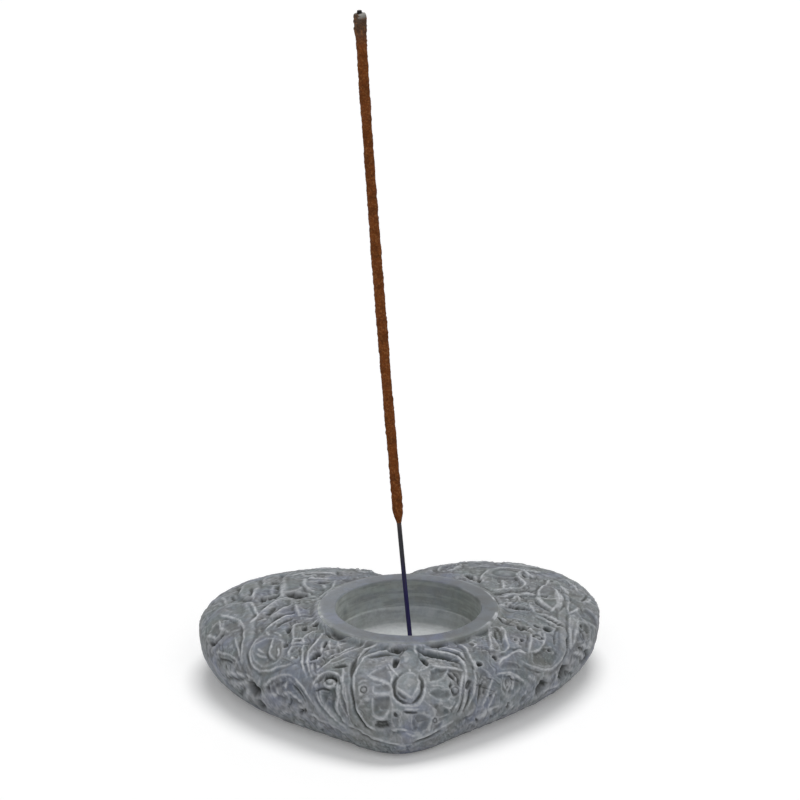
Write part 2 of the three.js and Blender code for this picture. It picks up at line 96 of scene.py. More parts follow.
class StoneSizes(bpy.types.PropertyGroup):
    height: length("Height", "Underside to the top of the rim", 25.5)
    rim_step: length("Rim step", "How far the rim stands above the carving", 0.9)
    side_edge: length("Side edge", "Height of the widest line at the lobes", 14.0)
    tip_edge: length("Tip edge", "Height of the widest line at the tip", 8.1)
    cup_x: length("Cup offset", "How far right of the mid-plane the cup was turned", 2.3)
    mouth_radius: length("Mouth radius", "Radius of the cup's mouth", 20.2)
    rim_width: length("Rim width", "Width of the turned rim", 5.1)
    ledge_depth: length("Ledge depth", "From the rim down to the step in the wall", 8.0)
    ledge_width: length("Ledge width", "Width of the step in the wall", 0.6)
    cup_depth: length("Cup depth", "From the rim down to the floor of the cup", 13.0)
    wall_draft: length("Wall draft", "How much each length of wall narrows downwards", 0.5)
    width: length("Width", "Across the two lobes", 114.2)
    depth: length("Depth", "From the tip to the back of the right lobe", 103.1)
    tip_reach: length("Tip reach", "From the cup's axis to where the sides would meet", 50.1)
    tip_x: length("Tip offset", "Place of the tip across the heart", -2.1, low=-20)
    notch_land: length("Notch land", "Stone left between the rim and the notch", 4.2)
    notch_x: length("Notch offset", "Place of the notch across the heart", -2.2, low=-20)
    left_shoulder: length("Left shoulder", "Widest point to the back of the left lobe, across", 29.6)
    right_shoulder: length("Right shoulder", "Widest point to the back of the right lobe, across", 26.1)
    lobe_stagger: length("Lobe stagger", "How much shorter the left lobe is", 6.6)
    left_widest_back: length("Left widest", "Widest point to the back of the left lobe", 33.4)
    right_widest_back: length("Right widest", "Widest point to the back of the right lobe", 31.2)
    side_undercut: length("Side undercut", "How far the underside draws in at the lobes", 10.7)
    tip_undercut: length("Tip undercut", "How far the underside draws in at the tip", 6.9)
    notch_flare: angle("Notch flare", "Each side of the notch from the mid-plane", 28)
    tip_flare: angle("Tip flare", "Each side of the tip from the mid-plane", 66)
    tip_rounding: angle("Tip rounding", "Bearings over which the tip is rounded, each way", 20)
    tip_spread: angle("Tip spread", "How far round from the tip its low edge reaches", 19)
    carving_depth: length("Carving depth", "Depth of the ground between the motifs", 0.9)
    hole_depth: length("Hole depth", "Depth of the stick hole", 10.0)
    hole_offset: length("Hole offset", "How far right of the cup's axis the hole was drilled", 1.3)


class StickSizes(bpy.types.PropertyGroup):
    lean: angle("Lean", "Lean to the left at the hole", 5.5)
    bend: angle("Bend", "How much the stick straightens up towards its top", 2.2)
    length: length("Length", "Whole length of the bamboo core", 192.5)
    core: length("Core diameter", "Thickness of the bamboo core", 1.3)
    paste: length("Paste diameter", "Thickness over the paste", 3.0)
    paste_top: length("Scorched diameter", "Thickness over the scorched top", 3.4)
    paste_start: length("Paste start", "From the lower end of the core to the paste", 48.0)
    paste_taper: length("Paste taper", "Length over which the paste thins out", 3.5)
    stub: length("Stub", "Bare core above the paste", 0.8)
    clearance: length("Clearance", "Between the core and the wall of its hole", 0.3)


class Finishes(bpy.types.PropertyGroup):
    stone: colour("Soapstone", "Dressed stone", (0.15, 0.169, 0.194))
    stone_blue: colour("Blue stone", "Bluish clouds in the stone", (0.144, 0.164, 0.238))
    stone_green: colour("Green stone", "Greenish clouds in the stone", (0.136, 0.17, 0.16))
    stone_warm: colour("Warm stone", "Brown-grey clouds in the stone", (0.178, 0.168, 0.152))
    # Also used for the painted highlights on the edges of the cup's rim and mouth.
    stone_worn_and_highlight: colour("Worn stone", "Pale rubbed ridges", (0.5, 0.515, 0.54))
    stone_dust: colour("Stone dust", "Pale dust in the broken places", (0.235, 0.23, 0.212))
    # Also used for the painted light on the left of the rim and on the upper walls of the cup.
    stone_chalk_and_light: colour("Cup floor", "Pale unpolished floor of the cup", (0.52, 0.54, 0.54))
    stone_rim: colour("Rim", "Violet grey of the rubbed rim", (0.188, 0.198, 0.222))
    # Also used for painted shade: in the recesses, on the cup's rim and wall, and over the lobes at the back.
    stone_soot_and_shade: colour("Soot", "Dark polish left in the recesses", (0.045, 0.048, 0.046))
    paste: colour("Paste", "Dry incense paste", (0.182, 0.05, 0.008))
    paste_light: colour("Pale grain", "Pale wood powder in the paste", (0.34, 0.145, 0.045))
    paste_dark: colour("Dark grain", "Dark wood powder in the paste", (0.05, 0.017, 0.006))
    scorched: colour("Scorched paste", "Top of the stick", (0.105, 0.068, 0.046))
    char: colour("Char", "Burnt end of the core", (0.012, 0.010, 0.009))
    ash: colour("Ash", "Grey ash on the end", (0.32, 0.31, 0.29))
    bamboo: colour("Bamboo", "Bare core under the paste", (0.078, 0.058, 0.056))
    bamboo_grey: colour("Grey bamboo", "Middle of the bare core", (0.031, 0.031, 0.04))
    dye: colour("Violet dye", "Lower end of the core", (0.021, 0.016, 0.098))
    floor: colour("Floor", "White studio floor", (0.93, 0.93, 0.93))


# Carving, drawn on the dressed surface laid flat about the axis of the cup: x to the right, y away from
# the tip, in millimetres over the surface.

# Broad raised places: middle, length, width, direction in degrees, level
PLATES = [
    (0.4, -43.6, 28.5, 24.5, 0, -0.5),
    (-50.5, 4.0, 13.0, 19.0, 12, -0.2),
    (-45.5, 22.0, 18.0, 6.0, 92, -0.3),
    (-39.0, -20.0, 16.0, 10.5, 98, -0.55),
    (-38.0, -36.8, 17.0, 11.0, -42, -0.45),
    (-47.0, -33.8, 11.0, 7.5, -8, -0.3),
    (-23.0, -45.5, 15.0, 9.0, 112, -0.3),
    (39.5, -17.0, 16.0, 11.0, 52, -0.5),
    (33.0, -33.0, 17.5, 12.0, 20, -0.4),
    (27.0, -43.5, 15.0, 9.0, 50, -0.4),
    (28.2, 30.4, 13.0, 10.0, 15, -0.3),
    (40.3, 12.5, 20.0, 8.0, 88, -0.45),
    (-32.5, 24.5, 21.0, 7.0, 92, -0.35),
]

# Smooth raised stems and bands: half width, level, and the points of the middle line
BANDS = [
    (1.9, -0.1, [(-16.6, -34.0), (-16.9, -39.0), (-17.2, -43.0), (-16.6, -47.5), (-15.3, -51.0),
                 (-12.5, -54.4)]),
    (2.5, -0.2, [(-12.5, -54.4), (-8.5, -57.0), (-3.5, -58.6), (1.0, -57.8), (5.5, -56.2)]),
    (1.9, -0.1, [(15.6, -33.0), (17.3, -37.0), (18.0, -41.0), (17.4, -45.0), (15.5, -48.2), (12.0, -51.8)]),
    (2.0, -0.2, [(12.0, -51.8), (9.3, -54.2), (5.5, -56.2)]),
    (1.3, -0.1, [(1.3, -25.6), (1.3, -28.5), (1.2, -31.0)]),
    (1.6, -0.15, [(-46.6, -20.0), (-45.6, -24.6), (-43.0, -27.8), (-39.5, -29.1), (-35.5, -30.0),
                  (-32.0, -31.2)]),
    (1.9, -0.1, [(-32.0, -31.2), (-29.8, -34.5), (-28.4, -38.5), (-28.0, -43.0), (-26.6, -47.8),
                 (-23.6, -52.0), (-18.0, -56.5)]),
    (1.7, -0.1, [(-45.0, 9.0), (-44.6, 3.0), (-44.6, -3.0), (-44.5, -9.0), (-45.6, -15.0), (-46.6, -20.0)]),
    (1.6, -0.1, [(44.4, 17.0), (44.2, 10.0), (43.9, 3.0), (44.2, -4.0), (45.5, -9.5), (46.3, -14.0),
                 (44.2, -19.6)]),
    (1.5, -0.1, [(44.2, -19.6), (40.5, -23.0), (36.5, -24.6), (33.0, -25.2)]),
    (1.3, -0.1, [(47.0, 4.5), (47.2, 0.0), (47.4, -4.0), (48.2, -7.5)]),
]

# Smooth rounded bosses: middle, length, width, direction in degrees, level of the top
DOMES = [
    (0.2, -31.8, 9.2, 4.6, 90, 0.15),
    (0.2, -42.5, 9.4, 7.0, 90, -0.05),
    (28.0, 29.6, 8.5, 7.0, 15, -0.05),
    (39.4, 18.2, 8.4, 4.8, 92, -0.15),
]

# Scooped shapes inside a drawn outline: depth, paleness of the edge, and the points round it
HOLLOWS = [
    # petals of the medallion
    (0.6, 0.45, [(-6.2, -35.3), (-8.6, -37.0), (-10.3, -38.6), (-7.5, -40.4), (-4.6, -41.7),
                 (-4.9, -38.5)]),
    (0.5, 0.45, [(-9.6, -42.3), (-6.0, -42.1), (-4.9, -43.3), (-5.3, -44.5), (-9.4, -44.6)]),
    (0.7, 0.45, [(-9.8, -45.9), (-5.3, -45.6), (-4.9, -48.0), (-5.8, -50.3), (-8.0, -51.5),
                 (-10.0, -50.0)]),
    (0.5, 0.45, [(1.2, -50.2), (4.0, -49.8), (6.8, -50.4), (6.4, -53.5), (4.0, -55.3), (1.5, -54.5)]),
    (0.6, 0.45, [(5.9, -43.7), (8.0, -42.0), (11.5, -41.8), (12.4, -43.3), (11.0, -44.9), (8.0, -44.9)]),
    (0.7, 0.45, [(6.0, -36.5), (8.0, -35.2), (10.6, -35.3), (9.9, -37.8), (7.5, -39.7), (5.8, -39.9)]),
    (0.4, 0.45, [(7.2, -46.4), (11.0, -46.0), (12.8, -48.0), (10.0, -49.7), (8.0, -48.8)]),
    (0.4, 0.45, [(-4.5, -49.8), (-2.6, -49.6), (-1.6, -52.0), (-3.0, -54.3), (-4.9, -53.0)]),
    (0.5, 0.3, [(8.4, -52.0), (11.2, -51.0), (10.4, -53.4), (8.2, -54.6)]),
    # left front
    (0.35, 0.3, [(-42.6, -16.0), (-39.2, -14.8), (-35.6, -17.0), (-34.6, -21.5), (-36.5, -25.8),
                 (-40.4, -25.6), (-43.0, -22.4), (-43.5, -19.0)]),
    (0.35, 0.3, [(-41.8, -31.4), (-37.0, -32.0), (-33.8, -33.4), (-32.4, -36.5), (-31.4, -41.0),
                 (-34.5, -41.6), (-38.6, -38.6), (-42.8, -34.6)]),
    (0.7, 0.4, [(-25.1, -40.6), (-20.6, -40.8), (-20.4, -43.5), (-21.6, -46.2), (-21.4, -49.6),
                (-24.0, -46.4), (-25.4, -43.4)]),
    (0.4, 0.3, [(-39.4, -31.2), (-35.0, -32.0), (-34.0, -33.2), (-37.0, -33.8), (-40.0, -33.0)]),
    (0.5, 0.4, [(-18.9, -40.8), (-17.8, -41.2), (-17.6, -46.0), (-18.4, -49.6), (-19.4, -46.0)]),
    # left lobe
    (0.3, 0.4, [(-34.6, 33.5), (-31.0, 33.0), (-29.8, 26.0), (-30.2, 19.0), (-31.6, 15.8),
                (-34.6, 15.6), (-35.2, 22.0), (-35.4, 29.0)]),
    (0.25, 0.2, [(-52.0, 9.5), (-47.0, 12.0), (-45.6, 6.0), (-46.4, 0.0), (-49.0, 3.4)]),
    (0.4, 0.4, [(-38.4, 22.0), (-35.8, 21.6), (-35.6, 16.0), (-36.6, 13.4), (-38.6, 16.6)]),
    (0.45, 0.3, [(-35.8, 9.6), (-33.0, 9.4), (-33.4, 5.4), (-36.6, 2.2), (-39.0, -0.6), (-40.2, 0.8),
                 (-38.0, 5.4)]),
    (0.4, 0.3, [(-33.8, 4.0), (-31.9, 4.6), (-31.4, 0.9), (-33.6, -0.4), (-36.4, -1.2)]),
    (0.35, 0.3, [(-57.6, 0.0), (-54.2, 2.0), (-53.0, -2.6), (-55.2, -3.9)]),
    (0.3, 0.3, [(-51.8, 1.6), (-48.6, -1.0), (-47.2, -5.0), (-50.0, -5.4), (-52.0, -2.4)]),
    # right lobe
    (0.4, 0.5, [(37.0, 11.4), (39.4, 11.2), (42.2, 11.6), (41.4, 7.2), (40.4, 5.0), (38.4, 8.0)]),
    (0.4, 0.4, [(49.0, 4.6), (52.6, 6.4), (54.4, 3.4), (52.0, -1.0), (49.4, -4.0), (48.8, 0.0)]),
    (0.35, 0.3, [(47.4, 9.0), (50.0, 12.8), (54.0, 14.6), (57.4, 12.6), (54.0, 8.4), (50.0, 6.8)]),
    (0.45, 0.5, [(32.0, 31.6), (33.4, 33.8), (34.6, 30.6), (34.0, 27.4), (32.2, 28.0)]),
    # right front
    (0.5, 0.3, [(34.8, -19.6), (39.0, -15.2), (42.6, -13.0), (44.6, -13.6), (43.6, -17.6),
                (40.4, -20.6), (36.4, -22.4)]),
    (0.4, 0.3, [(25.8, -29.4), (27.6, -27.0), (31.4, -25.9), (32.8, -26.8), (29.6, -28.2), (26.8, -30.0)]),
    (0.35, 0.3, [(27.4, -31.2), (30.6, -29.6), (34.4, -29.6), (35.8, -32.4), (33.4, -35.4), (28.6, -35.2)]),
    (0.35, 0.2, [(40.2, -29.8), (43.4, -29.4), (43.6, -32.4), (41.0, -33.4)]),
    (0.5, 0.5, [(22.8, -11.5), (25.2, -11.0), (26.0, -15.0), (26.2, -19.0), (24.6, -20.4), (23.2, -17.0)]),
]

# Thin ridges, rubbed pale: half width, height over the middle of the carving, and the points of the crest
RIDGES = [
    # top of the medallion, left
    (0.6, 0.8, [(-8.3, -24.7), (-10.7, -25.9), (-12.0, -27.3), (-13.2, -29.7), (-14.3, -32.7)]),
    (0.75, 0.8, [(-11.0, -23.0), (-13.0, -25.3), (-16.5, -27.8), (-20.0, -30.2), (-22.6, -32.4),
                 (-25.0, -34.5)]),
    (0.9, 0.8, [(-4.8, -26.6), (-6.3, -27.8), (-8.3, -28.7), (-9.9, -29.7), (-11.5, -31.1),
                (-13.0, -33.4)]),
    (0.55, 0.7, [(-13.0, -33.4), (-14.2, -36.0), (-14.8, -39.5), (-14.9, -44.0)]),
    (0.5, 0.6, [(-14.8, -24.4), (-17.5, -26.6), (-21.5, -29.0)]),
    (0.45, 0.5, [(-16.0, -30.2), (-18.4, -31.6), (-21.0, -32.4)]),
    (0.5, 0.6, [(-17.0, -22.0), (-19.6, -24.4), (-22.6, -26.4)]),
    # top of the medallion, right
    (0.7, 0.8, [(4.5, -26.4), (6.4, -27.2), (9.0, -28.2), (11.4, -28.7), (12.7, -29.2)]),
    (0.7, 0.8, [(12.7, -29.2), (13.9, -30.2), (15.0, -31.8), (15.8, -33.8)]),
    (0.7, 0.8, [(14.0, -22.9), (15.7, -25.2), (16.5, -27.7), (17.3, -29.9), (18.0, -31.7), (18.9, -33.4)]),
    (0.45, 0.6, [(8.6, -25.2), (11.4, -26.2), (13.6, -27.4), (15.2, -29.6)]),
    # stem and bud
    (0.3, 0.7, [(1.9, -26.2), (2.0, -29.4)]),
    (0.45, 0.85, [(-3.0, -42.9), (-2.0, -43.9), (-0.8, -44.9), (0.4, -45.6), (0.8, -46.1)]),
    (0.45, 0.85, [(2.9, -42.4), (2.5, -43.6), (1.6, -45.0), (0.8, -46.1)]),
    (0.35, 0.6, [(-2.9, -42.0), (-2.6, -40.3), (-1.5, -38.9), (0.0, -38.0), (1.6, -38.2), (2.7, -39.4)]),
    (0.4, 0.7, [(2.7, -39.4), (3.1, -40.8), (2.9, -42.4)]),
    (0.25, 0.6, [(-3.0, -37.4), (-4.2, -39.6), (-4.6, -42.4), (-4.4, -44.9), (-3.1, -47.2),
                 (-0.8, -48.3), (1.8, -48.1), (3.8, -46.6), (4.7, -44.0), (4.7, -41.2), (3.9, -38.6)]),
    (0.4, 0.5, [(-1.0, -49.2), (1.5, -49.1), (3.6, -48.2)]),
    (0.35, 0.6, [(0.3, -36.6), (0.5, -37.8)]),
    # petals
    (0.5, 0.75, [(-11.0, -38.9), (-9.7, -39.9), (-8.0, -40.8), (-6.4, -41.6), (-4.9, -42.4)]),
    (0.45, 0.7, [(-5.4, -34.7), (-4.6, -36.5), (-3.6, -38.2), (-2.8, -39.2)]),
    (0.4, 0.7, [(-10.1, -45.2), (-8.0, -45.1), (-5.0, -45.1)]),
    (0.5, 0.8, [(-10.5, -50.7), (-9.2, -51.7), (-7.8, -52.0), (-6.4, -51.2), (-5.5, -49.8)]),
    (0.4, 0.7, [(-1.9, -50.2), (-2.2, -51.4), (-2.5, -52.9)]),
    (0.4, 0.6, [(-4.7, -47.3), (-4.4, -48.8), (-4.9, -49.8)]),
    (0.35, 0.6, [(-5.0, -55.1), (-2.4, -54.9), (0.0, -55.3)]),
    (0.4, 0.6, [(7.3, -50.2), (7.2, -52.2), (6.8, -54.6)]),
    (0.45, 0.7, [(10.6, -46.4), (12.4, -46.7), (13.6, -45.8), (14.2, -44.0)]),
    (0.4, 0.6, [(6.3, -41.5), (8.2, -41.1), (10.4, -41.2)]),
    (0.5, 0.75, [(5.7, -34.6), (8.0, -34.7), (10.7, -34.7), (13.0, -34.6), (14.9, -35.0)]),
    (0.4, 0.7, [(3.0, -37.4), (4.3, -36.4), (5.6, -35.0)]),
    (0.35, 0.5, [(-13.6, -41.6), (-12.6, -40.6), (-11.2, -40.8)]),
    # band of the medallion
    (0.5, 0.75, [(15.6, -33.4), (16.1, -36.3), (16.6, -39.3), (16.9, -42.5), (16.7, -46.6)]),
    (0.45, 0.6, [(18.7, -36.5), (19.3, -39.3), (19.4, -42.0), (18.6, -45.8)]),
    (0.5, 0.7, [(15.3, -35.6), (15.2, -40.0), (15.2, -44.0), (14.2, -47.4)]),
    (0.55, 0.8, [(-17.6, -34.6), (-17.9, -38.0), (-18.0, -41.0), (-18.1, -44.0), (-17.4, -47.4)]),
    (0.7, 0.8, [(-15.0, -47.0), (-14.6, -49.4), (-13.4, -51.8), (-12.0, -53.6), (-10.2, -55.0)]),
    (0.45, 0.65, [(-20.6, -50.0), (-18.6, -53.2), (-15.6, -55.2), (-12.0, -57.3), (-8.3, -58.6),
                  (-3.0, -59.8), (1.0, -59.4)]),
    (0.5, 0.65, [(2.3, -57.4), (5.3, -56.5), (8.0, -55.0), (11.6, -52.8), (14.6, -50.0)]),
    (0.4, 0.5, [(-0.6, -56.0), (2.0, -56.4), (4.6, -55.8)]),
    # left front
    (0.65, 0.85, [(-42.2, -13.6), (-43.8, -16.8), (-44.6, -20.4), (-44.2, -23.4), (-42.8, -25.6),
                  (-40.8, -26.9), (-38.3, -27.8), (-35.5, -28.3), (-33.0, -28.7)]),
    (0.6, 0.85, [(-45.2, -29.4), (-42.6, -30.0), (-40.0, -30.1), (-37.0, -30.7), (-34.2, -31.5),
                 (-32.5, -32.8)]),
    (0.75, 0.85, [(-32.5, -32.8), (-31.5, -34.9), (-30.2, -37.2), (-29.5, -39.6), (-29.2, -42.8)]),
    (0.4, 0.7, [(-42.0, -18.0), (-41.2, -19.4), (-40.3, -20.4)]),
    (0.4, 0.7, [(-42.4, -19.8), (-41.3, -21.3), (-39.9, -22.2)]),
    (0.55, 0.8, [(-37.5, -15.6), (-38.1, -19.0), (-38.5, -21.8), (-37.9, -23.8), (-37.3, -24.8)]),
    (0.4, 0.55, [(-36.0, -20.2), (-35.8, -22.4), (-36.3, -24.0)]),
    (0.45, 0.6, [(-37.0, -11.8), (-36.0, -13.2), (-35.3, -14.8)]),
    (0.4, 0.5, [(-39.6, -10.6), (-38.6, -13.0)]),
    (0.6, 0.9, [(-46.1, -7.0), (-45.9, -9.5), (-46.2, -13.0), (-46.9, -16.6), (-47.4, -19.4)]),
    (0.5, 0.75, [(-48.8, -9.0), (-48.4, -13.0), (-48.0, -16.6), (-47.6, -19.4)]),
    (0.55, 0.8, [(-29.4, -7.4), (-31.3, -9.0), (-31.7, -11.0), (-31.7, -14.0), (-31.6, -17.0)]),
    (0.5, 0.75, [(-25.2, -13.4), (-26.2, -13.9), (-27.5, -15.4), (-28.8, -17.6)]),
    (0.5, 0.8, [(-31.7, -17.2), (-31.9, -20.2)]),
    (0.45, 0.75, [(-31.9, -20.2), (-30.4, -20.0), (-28.8, -20.4)]),
    (0.45, 0.75, [(-28.8, -17.6), (-28.8, -20.4)]),
    (0.4, 0.7, [(-31.7, -17.2), (-30.2, -17.6), (-28.8, -17.6)]),
    (0.45, 0.6, [(-31.9, -20.6), (-32.8, -23.0), (-33.0, -25.0)]),
    (0.45, 0.6, [(-28.8, -20.8), (-29.0, -23.6), (-29.2, -27.6), (-29.0, -31.6), (-28.2, -35.0)]),
    (0.45, 0.6, [(-26.8, -9.6), (-26.0, -8.4), (-25.0, -7.6)]),
    (0.8, 0.85, [(-23.6, -15.2), (-24.2, -18.6), (-25.2, -21.0), (-26.2, -23.4), (-27.2, -25.8),
                 (-27.7, -28.4), (-27.7, -31.0), (-27.3, -33.4), (-26.7, -35.4)]),
    (0.45, 0.7, [(-24.9, -29.6), (-24.0, -27.0), (-23.4, -24.0), (-22.8, -20.8)]),
    (0.45, 0.6, [(-21.4, -19.6), (-21.4, -23.0), (-21.0, -26.0)]),
    (0.45, 0.6, [(-19.0, -20.2), (-19.0, -23.8), (-18.2, -26.4)]),
    (0.5, 0.7, [(-17.6, -37.6), (-18.6, -38.6)]),
    (0.7, 0.9, [(-27.2, -38.8), (-26.2, -36.9), (-24.3, -35.9), (-22.0, -35.5), (-20.2, -36.2),
                (-18.9, -37.7), (-18.5, -39.4)]),
    (0.45, 0.75, [(-23.6, -38.0), (-23.0, -39.8), (-21.4, -40.2), (-20.2, -39.3)]),
    (0.6, 0.8, [(-26.4, -40.6), (-26.2, -43.6), (-25.2, -46.2), (-23.8, -48.6), (-22.2, -51.2),
                (-20.6, -53.2)]),
    (0.6, 0.85, [(-19.8, -40.4), (-19.8, -43.6), (-20.6, -46.0), (-21.0, -47.8), (-20.9, -49.8)]),
    (0.45, 0.7, [(-17.5, -40.4), (-17.4, -44.0), (-17.6, -46.8), (-18.0, -49.6)]),
    (0.6, 0.9, [(-52.2, -29.7), (-50.0, -28.9), (-47.0, -28.3), (-43.5, -27.8)]),
    (0.4, 0.6, [(-45.0, -31.8), (-42.2, -33.8), (-39.6, -34.4)]),
    (0.4, 0.55, [(-40.3, -33.0), (-39.6, -35.0)]),
    (0.45, 0.75, [(-39.2, -35.4), (-37.4, -36.0), (-35.8, -36.6), (-34.6, -38.4), (-33.8, -40.0),
                  (-33.0, -41.6)]),
    (0.45, 0.8, [(-36.4, -34.9), (-34.7, -33.3)]),
    (0.45, 0.6, [(-60.0, -12.5), (-56.5, -15.8), (-53.0, -19.2), (-49.6, -22.6), (-47.6, -24.4)]),
    (0.45, 0.6, [(-56.5, -8.6), (-52.8, -12.7), (-50.6, -15.6), (-49.4, -18.0)]),
    (0.5, 0.65, [(-62.0, -17.0), (-57.5, -19.6), (-53.0, -22.6), (-49.6, -24.6)]),
    (0.4, 0.5, [(-61.0, -22.6), (-56.0, -24.6), (-52.4, -25.2)]),
    (0.6, 0.6, [(-33.0, -44.4), (-30.2, -47.3), (-27.7, -50.0), (-25.2, -52.4), (-22.0, -55.0)]),
    (0.4, 0.4, [(-45.0, -44.6), (-43.0, -45.2), (-41.2, -46.3)]),
    (0.4, 0.4, [(-52.0, -37.0), (-47.0, -38.4), (-43.0, -39.8)]),
    # left lobe
    (0.7, 0.9, [(-53.2, 6.3), (-51.4, 3.9), (-50.0, 2.1), (-48.5, 0.2), (-47.3, -1.6), (-46.4, -4.2),
                (-46.1, -7.0)]),
    (0.5, 0.75, [(-58.2, 0.0), (-56.6, -2.0), (-55.2, -3.8)]),
    (0.45, 0.7, [(-53.4, 3.2), (-53.0, 0.0), (-52.3, -3.4)]),
    (0.55, 0.75, [(-43.3, 20.4), (-43.6, 17.5), (-43.8, 14.4), (-44.0, 12.5)]),
    (0.6, 0.8, [(-44.1, 9.6), (-43.4, 6.4), (-42.6, 3.0), (-42.0, 0.4), (-42.6, -1.8), (-43.8, -4.4)]),
    (0.7, 0.85, [(-29.2, 25.0), (-29.3, 20.8), (-29.0, 18.6), (-28.0, 16.4), (-26.6, 14.6)]),
    (0.7, 0.85, [(-36.2, 22.0), (-36.0, 18.0), (-35.9, 15.6), (-35.4, 12.9)]),
    (0.7, 0.85, [(-35.7, 10.4), (-37.0, 8.6), (-38.8, 6.2), (-40.0, 3.8), (-41.2, 1.6)]),
    (0.65, 0.85, [(-34.0, 4.6), (-35.0, 2.8), (-36.2, 1.0), (-37.2, -0.4), (-38.4, -2.0)]),
    (0.55, 0.8, [(-31.6, 5.6), (-31.2, 2.6), (-31.0, 0.8), (-30.3, -2.4)]),
    (0.8, 0.8, [(-32.0, -1.7), (-33.8, -2.9), (-35.7, -4.6), (-37.6, -6.8), (-39.6, -9.4)]),
    (0.5, 0.5, [(-48.0, 28.0), (-47.8, 24.0), (-48.4, 19.6)]),
    (0.5, 0.5, [(-53.6, 22.0), (-52.8, 18.0), (-52.0, 14.0)]),
    (0.5, 0.5, [(-41.6, 33.0), (-41.6, 29.0), (-41.2, 24.0)]),
    (0.4, 0.6, [(-28.6, -5.2), (-26.2, -5.3)]),
    (0.45, 0.6, [(-24.0, 20.5), (-23.8, 17.5)]),
    (0.5, 0.6, [(-20.7, 24.0), (-21.4, 18.0), (-23.2, 14.0), (-24.6, 11.0)]),
    (0.5, 0.7, [(-34.0, 30.0), (-30.0, 30.8), (-25.2, 31.0), (-21.0, 30.0)]),
    (0.5, 0.6, [(-30.6, 26.0), (-26.4, 25.4), (-22.0, 24.8)]),
    # right lobe
    (0.5, 0.75, [(26.6, 24.6), (26.9, 21.4), (27.2, 18.4), (26.8, 16.8)]),
    (0.95, 0.95, [(31.3, 28.0), (32.2, 25.0), (33.2, 22.8), (32.9, 20.4), (31.7, 18.4)]),
    (0.5, 0.8, [(32.0, 31.8), (31.3, 29.8), (31.3, 28.0)]),
    (0.5, 0.8, [(33.4, 34.4), (34.2, 31.4), (36.2, 29.4)]),
    (0.6, 0.75, [(24.6, 33.4), (27.0, 34.5), (29.4, 35.0), (33.4, 34.8), (38.0, 36.4)]),
    (1.2, 1.0, [(40.2, 3.4), (41.4, 6.4), (42.3, 9.6), (42.7, 13.0), (42.5, 16.6), (41.8, 20.4)]),
    (0.7, 0.9, [(41.6, 6.0), (42.9, 9.4), (43.3, 13.0), (43.0, 16.4)]),
    (0.6, 0.85, [(39.2, 23.7), (37.8, 20.0), (37.0, 16.1), (36.9, 13.1)]),
    (0.6, 0.85, [(36.2, 11.8), (37.2, 9.2), (38.4, 6.9), (40.5, 4.5)]),
    (0.5, 0.65, [(43.8, 25.0), (45.2, 22.6), (45.9, 20.2)]),
    (0.5, 0.75, [(40.8, 29.0), (40.0, 26.4), (39.2, 23.8)]),
    (0.55, 0.8, [(48.8, 12.4), (47.8, 9.6), (46.6, 7.2), (45.6, 5.6)]),
    (0.5, 0.75, [(46.4, 15.0), (45.6, 11.6), (45.4, 8.6), (45.6, 5.6)]),
    (0.6, 0.85, [(45.9, 4.6), (45.8, 1.2), (46.1, -2.6), (46.9, -5.4), (48.1, -7.8)]),
    (0.6, 0.85, [(48.6, 6.0), (48.3, 2.6), (48.4, -2.4), (48.5, -5.8), (48.1, -7.8)]),
    (0.6, 0.8, [(34.2, 6.0), (34.8, 4.0), (35.3, 1.8)]),
    (0.5, 0.75, [(25.3, 6.2), (26.3, 3.9), (27.8, 5.4), (29.1, 7.4)]),
    (0.55, 0.7, [(36.2, 1.2), (39.7, -0.2), (43.0, -1.6)]),
    (0.55, 0.7, [(36.6, -1.2), (39.6, -2.5), (42.3, -3.8)]),
    (0.5, 0.6, [(22.6, 31.0), (21.0, 27.5), (21.4, 23.0)]),
    (0.45, 0.6, [(29.6, 10.6), (31.5, 11.4)]),
    (0.55, 0.7, [(25.2, 10.9), (29.4, 12.8), (33.4, 14.2), (36.0, 15.0)]),
    (0.5, 0.7, [(24.4, 16.2), (27.6, 17.4), (31.6, 18.6)]),
    (0.5, 0.6, [(49.6, 17.0), (52.0, 19.6), (53.0, 24.0)]),
    (0.5, 0.5, [(46.6, 33.0), (48.4, 29.0), (49.0, 25.0)]),
    (0.5, 0.6, [(54.6, 2.0), (57.6, 6.2), (60.4, 9.0)]),
    (0.5, 0.6, [(52.4, -2.0), (56.0, 2.4), (60.0, 7.0)]),
    # right front
    (0.9, 0.9, [(25.8, -10.2), (26.4, -12.4), (26.7, -15.0), (27.1, -18.0), (27.7, -20.8),
                (27.2, -22.9), (25.6, -24.5)]),
    (0.5, 0.7, [(22.2, -11.4), (22.4, -15.0), (22.5, -19.0), (22.6, -23.4)]),
    (0.6, 0.7, [(33.4, -20.6), (31.0, -21.5), (29.5, -22.7), (28.0, -24.5), (26.4, -26.6), (25.4, -29.0)]),
    (0.4, 0.6, [(33.3, -21.2), (31.4, -20.4), (30.2, -21.2)]),
    (0.8, 0.9, [(32.9, -24.3), (35.5, -23.8), (38.2, -22.7), (41.0, -21.2), (43.5, -19.0),
                (45.3, -16.4), (46.2, -13.4), (46.2, -10.6), (45.4, -8.0)]),
    (0.65, 0.8, [(34.2, -12.4), (34.3, -15.0), (34.2, -17.6), (34.0, -20.4)]),
    (0.5, 0.65, [(34.1, -20.0), (36.2, -18.2), (37.7, -15.8), (38.5, -12.6), (38.3, -9.4)]),
    (0.5, 0.75, [(36.6, -26.6), (38.2, -26.2), (40.0, -25.4)]),
    (0.6, 0.75, [(25.3, -32.6), (26.2, -31.6), (27.5, -30.8), (29.4, -29.7), (31.6, -29.2),
                 (34.0, -28.9), (37.4, -28.7)]),
